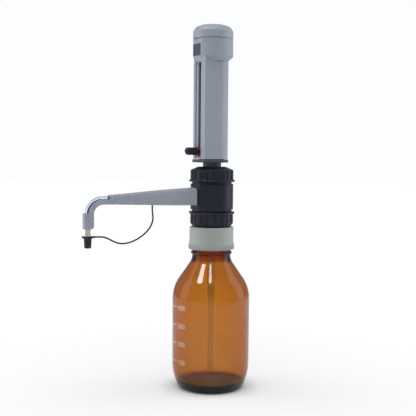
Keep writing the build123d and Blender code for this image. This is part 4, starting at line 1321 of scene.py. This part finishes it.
def arm_place(line, reach):
    """Places a section of y and height on the arm's line: straight along -X, then round the bend about
    its centre, then down. The reach counts along the line."""
    turn = np.clip((reach - BEND_START) / BEND_RADIUS, 0.0, math.pi / 2)
    beyond = max(0.0, reach - BEND_START - BEND_RADIUS * math.pi / 2)
    out = BEND_RADIUS + line[:, 1]
    if reach <= BEND_START:
        return np.stack([np.full(len(line), -reach), line[:, 0], OUTLET_Z + line[:, 1]], 1)
    height = BEND_Z + out * math.cos(turn) - beyond
    return np.stack([-BEND_START - out * math.sin(turn), line[:, 0], height], 1)


def on_drum(line):
    """Moves a section's points onto the drum of the valve block."""
    line = line.copy()
    line[:, 0] = -np.sqrt(DRUM_SEAT**2 - line[:, 1] ** 2)
    return line


def make_arm_body():
    """Lower half of the arm: a channel section of y and height carried along the arm's line and round
    the bend, then the collar: a rounded square with a round bore."""
    outer, inner = [], []
    end = BEND_START + BEND_RADIUS * math.pi / 2 + BEND_Z - COLLAR_LOW - 1.5
    reaches = [DRUM_SEAT, DRUM_SEAT + 0.9, DRUM_SEAT + 1.5, DRUM_SEAT + 2.1, 28.0, VALVE_END, VALVE_END]
    reaches += list(np.linspace(VALVE_END + 2, BEND_START, 34)) + list(np.linspace(BEND_START, end, 44)[1:])
    for row, reach in enumerate(reaches):
        half, _, depth = arm_sizes(reach)
        lip = 0.02
        line = rounded(
            [(half, -lip), (half, -depth, 1.1), (0.0, -depth), (-half, -depth, 1.1), (-half, -lip)], 5
        )
        radius = VALVE_ROOM if row < 6 else GROOVE
        groove = arc(0.0, 0.0, radius, 0.0, -math.pi, len(line) - 1)
        groove[:, 1] = np.minimum(groove[:, 1], -lip)
        pair = [arm_place(line, reach), arm_place(groove, reach)]
        if row == 0:
            pair = [on_drum(one) for one in pair]
        outer.append(pair[0])
        inner.append(pair[1])
    channel = thick_grid(np.array(outer), np.array(inner))
    square = rounded_square(COLLAR_HALF, COLLAR_HALF, 3.2, 8)
    angle = np.arctan2(square[:, 1], square[:, 0])
    bore = GROOVE * np.stack([np.cos(angle), np.sin(angle)], 1)
    rings = [
        (bore, 1.0, COLLAR_LOW),
        (square, 0.93, COLLAR_LOW),
        (square, 0.98, COLLAR_LOW + 0.12),
        (square, 1.0, COLLAR_LOW + 0.5),
        (square, 1.0, COLLAR_HIGH - 4.0),
        (square, 1.0, COLLAR_HIGH - 0.5),
        (square, 0.97, COLLAR_HIGH),
        (bore, 1.0, COLLAR_HIGH),
    ]
    points = [
        np.stack([line[:, 0] * size - REACH, line[:, 1] * size, np.full(len(line), height)], 1)
        for line, size, height in rings
    ]
    collar = (np.array(points), grid_faces(len(rings), len(square), close_rows=True, close_columns=True))
    points, faces = joined([channel, collar])
    piece = object_of("discharge_arm_body", points, faces, 32.0)
    dress(piece, "valve_block", material("grey_plastic"), ["arm_body"])


def arch_line(half, top, corner):
    """Arch of y and height from the split between the arm's halves: two sides and a top, joined by
    round corners."""
    return rounded([(half, 0.05), (half, top, corner), (0.0, top), (-half, top, corner), (-half, 0.05)], 7)


def make_arm_cover(settings):
    """Upper half of the arm: an arched section carried from the drum to the cover's end, with an arch
    inside it for the hose, open at the tip."""
    edge = settings.edge / MM
    outer, inner = [], []
    reaches = [DRUM_SEAT, DRUM_SEAT + 0.9, DRUM_SEAT + 1.5, DRUM_SEAT + 2.1, 28.0]
    reaches += list(np.linspace(30.0, COVER_END - 0.5, 48)) + [COVER_END - 0.15, COVER_END]
    for row, reach in enumerate(reaches):
        half, top, _ = arm_sizes(reach)
        soft = 0.35 * max(0.0, (reach - COVER_END + 0.5) / 0.5) ** 2
        half, top = half - soft, top - soft
        corner = min(edge * 1.4, 0.55 * half)
        line = arch_line(half, top, corner)
        arch = arch_line(max(half - ARM_WALL + soft, GROOVE), top - ARM_WALL + soft, corner * 0.7)
        pair = [arm_place(line, reach), arm_place(arch, reach)]
        if row == 0:
            pair = [on_drum(one) for one in pair]
        outer.append(pair[0])
        inner.append(pair[1])
    points, faces = thick_grid(np.array(outer), np.array(inner))
    piece = object_of("discharge_arm_cover", points, faces, 32.0)
    dress(piece, "valve_block", material("grey_plastic"), ["arm_cover"])


def make_hose():
    """Discharge hose: rings round the arm's line from the outlet valve to the nozzle, outer and inner
    wall, closed at both ends."""
    start = -VALVE_LOW[0] - 6.0
    end = BEND_START + BEND_RADIUS * math.pi / 2 + BEND_Z - HOSE_LOW[2]
    reaches = np.concatenate([np.linspace(start, BEND_START, 14), np.linspace(BEND_START, end, 48)[1:]])
    rings = []
    for radius, order in ((HOSE_RADIUS, reaches), (HOSE_BORE, reaches[::-1])):
        circle = arc(0.0, 0.0, radius, 0.0, TURN, HOSE_SIDES)[:-1]
        rings += [arm_place(circle, reach) for reach in order]
    faces = grid_faces(len(rings), HOSE_SIDES, close_rows=True, close_columns=True)
    piece = object_of("discharge_hose_clear", np.array(rings), faces, 40.0)
    dress(piece, "valve_block", material("clear_hose"), ["discharge_hose"])


def make_nozzle():
    """Nozzle tube turned from r and z about the collar's axis."""
    low, high = NOZZLE_LOW[2], NOZZLE_HIGH[2]
    outline = rounded(
        [
            (1.0, low),
            (2.3, low, 0.3),
            (2.3, low + 5.5, 0.3),
            (HOSE_RADIUS, low + 6.2, 0.3),
            (HOSE_RADIUS, high, 0.3),
            (1.0, high, 0.3),
            (1.0, low),
        ]
    )[:-1]
    piece = turned_object("nozzle_tube", outline, 72, centre=(-REACH, 0.0), closed=True)
    dress(piece, "valve_block", material("white_plastic"), ["nozzle"])


def make_nozzle_cap():
    """Nozzle cap turned from r and z, hollow for the nozzle, and its ear: a rounded bar from the flange
    to the tether, narrowed and closed at its end."""
    low, high = NOZZLE_CAP_LOW[2], NOZZLE_CAP_HIGH[2]
    flange = abs(REACH + NOZZLE_CAP_LOW[0])
    outline = rounded(
        [
            (0.0, low),
            (3.65, low, 1.2),
            (4.05, high - 3.6, 0.3),
            (4.25, high - 1.9, 0.5),
            (flange, high - 1.9, 0.45),
            (flange, high, 0.55),
            (CAP_BORE, high, 0.25),
            (CAP_BORE, NOZZLE_LOW[2] + 6.0, 0.2),
            (2.4, NOZZLE_LOW[2] + 5.2, 0.2),
            (2.4, NOZZLE_LOW[2] - 0.3),
            (0.0, NOZZLE_LOW[2] - 0.3),
        ]
    )

    def fluted(turn, place, size):
        reach = eased((place - low - 0.8) / 0.8) * eased((high - 2.3 - place) / 0.6)
        groove = 1 - teeth(turn, CAP_FLUTES, 0.5, 0.4)
        return size - CAP_FLUTE_DEPTH * reach * (size > 3.4) * groove

    cap = turned_points(refined(outline, 0.6), 120, fluted, (-REACH, 0.0))
    parts = [(cap, grid_faces(cap.shape[0], 120, close_columns=True))]
    ear_end = NOZZLE_CAP_HIGH[0]
    ear_middle = high - 0.95
    section = rounded_square(1.7, 0.93, 0.5, 4)
    ear_start = -REACH + 4.6
    rings = []
    for place, size in (
        (ear_start, 0.0),
        (ear_start, 1.0),
        (ear_end - 0.4, 1.0),
        (ear_end - 0.1, 0.93),
        (ear_end, 0.75),
        (ear_end, 0.0),
    ):
        rings.append(facing_front(place, section * size + np.array([0.0, ear_middle])))
    parts.append((np.array(rings), grid_faces(len(rings), len(section), close_columns=True)))
    points, faces = joined(parts)
    piece = object_of("nozzle_cap_soft", points, faces, 40.0)
    dress(piece, "nozzle_cap", material("navy_plastic"), ["nozzle_cap"])


# Tether of the nozzle cap: the route's points are listed in metres, as X and Z
TETHER_ROUTE = [
    (-0.0714, 0.20805),
    (-0.0714, 0.1992),
    (-0.0700, 0.1906),
    (-0.0734, 0.1819),
    (-0.0806, 0.1746),
    (-0.0900, 0.1688),
    (-0.1002, 0.1656),
    (-0.1096, 0.1656),
    (-0.1176, 0.1694),
    (-0.1246, 0.1730),
    (-0.1304, 0.17375),
    (-0.1356, 0.17375),
]


def spline_points(route):
    """Points of the route's smooth NURBS line, of the second degree and through both its ends."""
    curve = bpy.data.curves.new("tether_line", "CURVE")
    curve.dimensions = "3D"
    curve.resolution_u = 14
    spline = curve.splines.new("NURBS")
    spline.points.add(len(route) - 1)
    for point, (x, z) in zip(spline.points, route):
        point.co = (x, 0.0, z, 1.0)
    spline.order_u = 3
    spline.use_endpoint_u = True
    carrier = bpy.data.objects.new("tether_line", curve)
    mesh = bpy.data.meshes.new_from_object(carrier)
    points, _ = mesh_arrays(mesh)
    bpy.data.objects.remove(carrier)
    bpy.data.curves.remove(curve)
    bpy.data.meshes.remove(mesh)
    return points


def make_tether(settings):
    """Tether: circles round each point of the route's line, in the plane across its direction; the first
    and last shrink to a point."""
    line = spline_points(TETHER_ROUTE)
    radius = settings.tether_diameter / 2
    along = np.gradient(line, axis=0)
    along /= np.linalg.norm(along, axis=1, keepdims=True)
    beside = np.array([0.0, 1.0, 0.0])
    over = np.cross(beside, along)
    sides = 20
    turn = np.arange(sides) * TURN / sides
    circle = np.cos(turn)[None, :, None] * over[:, None, :] + np.sin(turn)[None, :, None] * beside
    rings = line[:, None, :] + radius * circle
    ends = [line[place : place + 1, None, :].repeat(sides, 1) for place in (0, len(line) - 1)]
    points = np.concatenate([ends[0], rings, ends[1]]) / MM
    piece = object_of("nozzle_cap_tether", points, grid_faces(len(points), sides, close_columns=True), 50.0)
    dress(piece, None, material("cord_rubber"), ["tether"], blend=True)
    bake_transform(piece)


# Pieces that keep their CAD shape
CARRIED = {
    "seal_rubber": ("neck_seal", "cylinder_seal", "piston_seal"),
    "white_plastic": ("inlet_valve_cage", "outlet_valve_cage", "piston", "rod_carrier"),
    "clear_hose": ("intake_tube", "intake_extension"),
    "ceramic_ball": ("inlet_ball", "outlet_ball"),
    "clear_glass": ("glass_cylinder",),
    "steel": ("piston_rod", "rod_nut", "lock_screw"),
    "dark_grey_plastic": ("stop_ring", "slide_block"),
    "navy_plastic": ("vent_plug",),
}


def dress_carried():
    """Gives the valves, the pump's inner pieces and the filling tube their finishes."""
    for slot, nodes in CARRIED.items():
        for name in nodes:
            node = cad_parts[name]
            node.data.materials.clear()
            node.data.materials.append(material(slot))


# Floor, light and camera
LOOK_YAW = math.radians(0.235)
LOOK_ROLL = math.radians(0.5)
FLOOR_GLOW = 0.5
NEAR_FADE = (0.035, 0.06)
FAR_FADE = (0.06, 0.34)
WORLD_COLOUR = (0.97, 0.985, 1.0, 1.0)
WORLD_LIGHT = 0.34
SKY_HEIGHTS = (0.04, 0.5)
SKY_GLOW = (1.0, 0.42)


def make_floor(settings):
    """Round floor, fine at its middle; seen by the camera it goes to white with the distance from the
    object, and near the object it keeps the shadow."""
    reach = np.concatenate([[0.0], np.geomspace(0.05, 6.0, 24)])
    outline = np.stack([reach / MM, np.zeros_like(reach)], 1)
    points = turned_points(outline, 96)
    floor = object_of("studio_floor", points, grid_faces(len(outline), 96, close_columns=True))
    face_to(floor, (0.0, 0.0, 1.0))
    finish = Finish("studio_floor_finish", tuple(settings.floor), 0.9, **{"Specular IOR Level": 0.1})
    ray = finish.add("ShaderNodeLightPath")
    seen = finish.add("ShaderNodeMath", operation="MAXIMUM")
    finish.link(ray.outputs["Is Camera Ray"], seen.inputs[0])
    finish.link(ray.outputs["Is Transmission Ray"], seen.inputs[1])
    away = finish.add("ShaderNodeVectorMath", operation="LENGTH")
    finish.link(finish.place, away.inputs[0])
    near = finish.ranged(away.outputs["Value"], 0.0, FLOOR_GLOW, *NEAR_FADE)
    far = finish.ranged(away.outputs["Value"], 0.0, FLOOR_GLOW, *FAR_FADE)
    fade = finish.add("ShaderNodeMath", operation="ADD")
    finish.link(near, fade.inputs[0])
    finish.link(far, fade.inputs[1])
    share = finish.add("ShaderNodeMath", operation="MULTIPLY")
    finish.link(seen.outputs["Value"], share.inputs[0])
    finish.link(fade.outputs["Value"], share.inputs[1])
    glow = finish.add("ShaderNodeEmission")
    glow.inputs["Color"].default_value = (1.0, 1.0, 1.0, 1.0)
    mix = finish.add("ShaderNodeMixShader")
    finish.link(share.outputs["Value"], mix.inputs["Fac"])
    finish.link(finish.shader.outputs["BSDF"], mix.inputs[1])
    finish.link(glow.outputs["Emission"], mix.inputs[2])
    finish.link(mix.outputs["Shader"], finish.output.inputs["Surface"])
    floor.data.materials.append(finish.material)


def make_world():
    """White world for the camera; through glass it is white at the horizon and dimmer overhead, and as
    a lamp and in reflections it is an even grey."""
    world = bpy.data.worlds.new("studio_world")
    bpy.context.scene.world = world
    world.use_nodes = True
    tree = world.node_tree
    ground = tree.nodes["Background"]
    ray = tree.nodes.new("ShaderNodeLightPath")
    heading = tree.nodes.new("ShaderNodeTexCoord")
    parts = tree.nodes.new("ShaderNodeSeparateXYZ")
    tree.links.new(heading.outputs["Generated"], parts.inputs["Vector"])
    glow = ranged_node(tree, parts.outputs["Z"], *SKY_HEIGHTS, *SKY_GLOW)
    through = mixed_node(tree, ray.outputs["Is Transmission Ray"], WORLD_LIGHT, glow)
    strength = mixed_node(tree, ray.outputs["Is Camera Ray"], through, 1.0)
    tree.links.new(strength, ground.inputs["Strength"])
    ground.inputs["Color"].default_value = WORLD_COLOUR


def make_lamp(name, place, target, size, power, reflected):
    """Soft rectangular lamp at a place, turned to a target. A lamp lights surfaces and doesn't show in
    their gloss; a reflected one only shows there."""
    light = bpy.data.lights.new(name, "AREA")
    light.shape = "RECTANGLE"
    light.size, light.size_y = size
    light.energy = power
    lamp = bpy.data.objects.new(name, light)
    lamp.location = place
    lamp.rotation_mode = "QUATERNION"
    lamp.rotation_quaternion = (Vector(target) - Vector(place)).to_track_quat("-Z", "Y")
    lamp.visible_diffuse = not reflected
    lamp.visible_glossy = reflected
    lamp.visible_transmission = False
    bpy.context.scene.collection.objects.link(lamp)


MIDDLE = (0.0, 0.0, 0.22)
SHOULDER = (0.0, 0.0, 0.125)
LAMPS = (
    ("lamp_left", (-0.86, 0.62, 0.42), MIDDLE, (0.9, 1.3), 9.5, False),
    ("lamp_right", (0.98, -0.16, 0.42), MIDDLE, (0.8, 1.3), 8.0, False),
    ("lamp_top", (-0.1, -0.15, 1.35), MIDDLE, (1.0, 1.0), 7.5, False),
    ("lamp_front", (-0.65, -1.35, 0.75), MIDDLE, (0.9, 0.9), 3.0, False),
    ("panel_left", (-1.1, 0.5, 0.5), MIDDLE, (0.7, 1.2), 2.2, True),
    ("panel_right", (1.1, -0.3, 0.5), MIDDLE, (0.6, 1.2), 2.0, True),
    ("panel_top", (0.0, 0.0, 1.5), MIDDLE, (1.0, 1.0), 3.0, True),
    ("strip_left", (-0.68, -0.1, 1.11), SHOULDER, (0.3, 0.3), 4.0, True),
    ("strip_front", (-0.29, -0.51, 1.18), SHOULDER, (0.14, 0.3), 1.6, True),
)


def make_lamps():
    """Large soft lamps to the left and right of the picture, a little behind the object, one overhead
    and a weak one at the front; beside them the panels that show in gloss."""
    for lamp in LAMPS:
        make_lamp(*lamp)


def make_camera(settings):
    """Camera on a circle round the bottle's axis, looking a little down, with its own small yaw and
    roll; the lens is the focal share of the sensor's width."""
    bearing = -settings.azimuth
    place = np.array(
        [-settings.distance * math.sin(bearing), -settings.distance * math.cos(bearing), settings.eye_height]
    )
    heading = bearing - LOOK_YAW
    ahead = np.array(
        [
            math.sin(heading) * math.cos(settings.pitch),
            math.cos(heading) * math.cos(settings.pitch),
            -math.sin(settings.pitch),
        ]
    )
    right = np.cross(ahead, (0.0, 0.0, 1.0))
    right /= np.linalg.norm(right)
    up = np.cross(right, ahead)
    lean = math.sin(LOOK_ROLL)
    straight = math.cos(LOOK_ROLL)
    right, up = right * straight + up * lean, up * straight - right * lean
    data = bpy.data.cameras.new("photo_camera")
    data.sensor_fit = "HORIZONTAL"
    data.sensor_width = 36.0
    data.lens = settings.focal_share * data.sensor_width
    data.clip_start = 0.05
    data.clip_end = 50.0
    camera = bpy.data.objects.new("photo_camera", data)
    axes = np.eye(4)
    axes[:3, 0], axes[:3, 1], axes[:3, 2], axes[:3, 3] = right, up, -ahead, place
    camera.matrix_world = Matrix(axes.tolist())
    bpy.context.scene.collection.objects.link(camera)
    bpy.context.scene.camera = camera


# Operators
class BuildBottle(bpy.types.Operator):
    """Turn the amber bottle with its wall, punt, bead and thread"""

    bl_idname = "dispenser.bottle"
    bl_label = "Bottle"

    def execute(self, context):
        make_bottle(context.scene.dispenser_bottle)
        return {"FINISHED"}


class BuildGraduation(bpy.types.Operator):
    """Print the bottle's lines and numbers"""

    bl_idname = "dispenser.graduation"
    bl_label = "Graduation"

    def execute(self, context):
        make_graduation(context.scene.dispenser_bottle)
        return {"FINISHED"}


class BuildFittings(bpy.types.Operator):
    """Turn the adapter, both ring nuts, the valve block and the sleeve"""

    bl_idname = "dispenser.fittings"
    bl_label = "Adapter, nuts and block"

    def execute(self, context):
        settings = context.scene.dispenser_fittings
        make_adapter(settings)
        make_ring_nuts(settings)
        make_block(settings)
        make_sleeve(settings)
        return {"FINISHED"}


class BuildHousing(bpy.types.Operator):
    """Stack the housing's shells, its foot plate and its cap"""

    bl_idname = "dispenser.housing"
    bl_label = "Pump housing"

    def execute(self, context):
        settings = context.scene.dispenser_housing
        make_shells(settings)
        make_foot()
        make_cap()
        return {"FINISHED"}


class BuildScale(bpy.types.Operator):
    """Make the range window and the volume scale with its pointer"""

    bl_idname = "dispenser.scale"
    bl_label = "Window and scale"

    def execute(self, context):
        settings = context.scene.dispenser_housing
        make_window()
        make_scale(settings)
        make_pointer()
        return {"FINISHED"}


class BuildKnob(bpy.types.Operator):
    """Turn the lock knob of the volume slide"""

    bl_idname = "dispenser.knob"
    bl_label = "Lock knob"

    def execute(self, context):
        make_knob()
        return {"FINISHED"}


class BuildArm(bpy.types.Operator):
    """Carry both halves of the discharge arm and its hose along the arm's line"""

    bl_idname = "dispenser.arm"
    bl_label = "Discharge arm"

    def execute(self, context):
        settings = context.scene.dispenser_arm
        make_arm_body()
        make_arm_cover(settings)
        make_hose()
        return {"FINISHED"}


class BuildNozzle(bpy.types.Operator):
    """Turn the nozzle and its cap, and lay the cap's tether"""

    bl_idname = "dispenser.nozzle"
    bl_label = "Nozzle, cap and tether"

    def execute(self, context):
        settings = context.scene.dispenser_arm
        make_nozzle()
        make_nozzle_cap()
        make_tether(settings)
        return {"FINISHED"}


class DressInside(bpy.types.Operator):
    """Finish the pieces that keep their CAD shape"""

    bl_idname = "dispenser.inside"
    bl_label = "Inner pieces"

    def execute(self, context):
        dress_carried()
        return {"FINISHED"}


class BuildStage(bpy.types.Operator):
    """Set the floor, the world, the lamps and the camera"""

    bl_idname = "dispenser.stage"
    bl_label = "Stage"

    def execute(self, context):
        settings = context.scene.dispenser_stage
        context.scene.view_settings.view_transform = "Standard"
        make_camera(settings)
        make_floor(settings)
        make_world()
        make_lamps()
        return {"FINISHED"}


OPERATORS = (
    BuildStage,
    BuildNozzle,
    BuildBottle,
    BuildGraduation,
    BuildFittings,
    BuildHousing,
    BuildScale,
    BuildKnob,
    BuildArm,
    DressInside,
)
SETTINGS = {
    "dispenser_bottle": BottleSettings,
    "dispenser_fittings": FittingSettings,
    "dispenser_housing": HousingSettings,
    "dispenser_arm": ArmSettings,
    "dispenser_stage": StageSettings,
}


class DispenserPanel(bpy.types.Panel):
    """Lists the dispenser's pieces and their sizes"""

    bl_idname = "VIEW3D_PT_dispenser"
    bl_label = "Bottle-top dispenser"
    bl_space_type = "VIEW_3D"
    bl_region_type = "UI"
    bl_category = "Dispenser"

    def draw(self, context):
        for name, group in SETTINGS.items():
            box = self.layout.box()
            for key in group.__annotations__:
                box.prop(getattr(context.scene, name), key)
        for piece in OPERATORS:
            self.layout.operator(piece.bl_idname)


def register():
    """Makes the settings, the operators and the panel known."""
    for group in (*SETTINGS.values(), *OPERATORS, DispenserPanel):
        bpy.utils.register_class(group)
    for name, group in SETTINGS.items():
        setattr(bpy.types.Scene, name, bpy.props.PointerProperty(type=group))


def unregister():
    """Takes them away again."""
    for name in SETTINGS:
        delattr(bpy.types.Scene, name)
    for group in reversed((*SETTINGS.values(), *OPERATORS, DispenserPanel)):
        bpy.utils.unregister_class(group)


def main():
    """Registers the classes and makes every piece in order."""
    register()
    for piece in OPERATORS:
        section, name = piece.bl_idname.split(".")
        getattr(getattr(bpy.ops, section), name)()


if __name__ == "__main__":
    main()
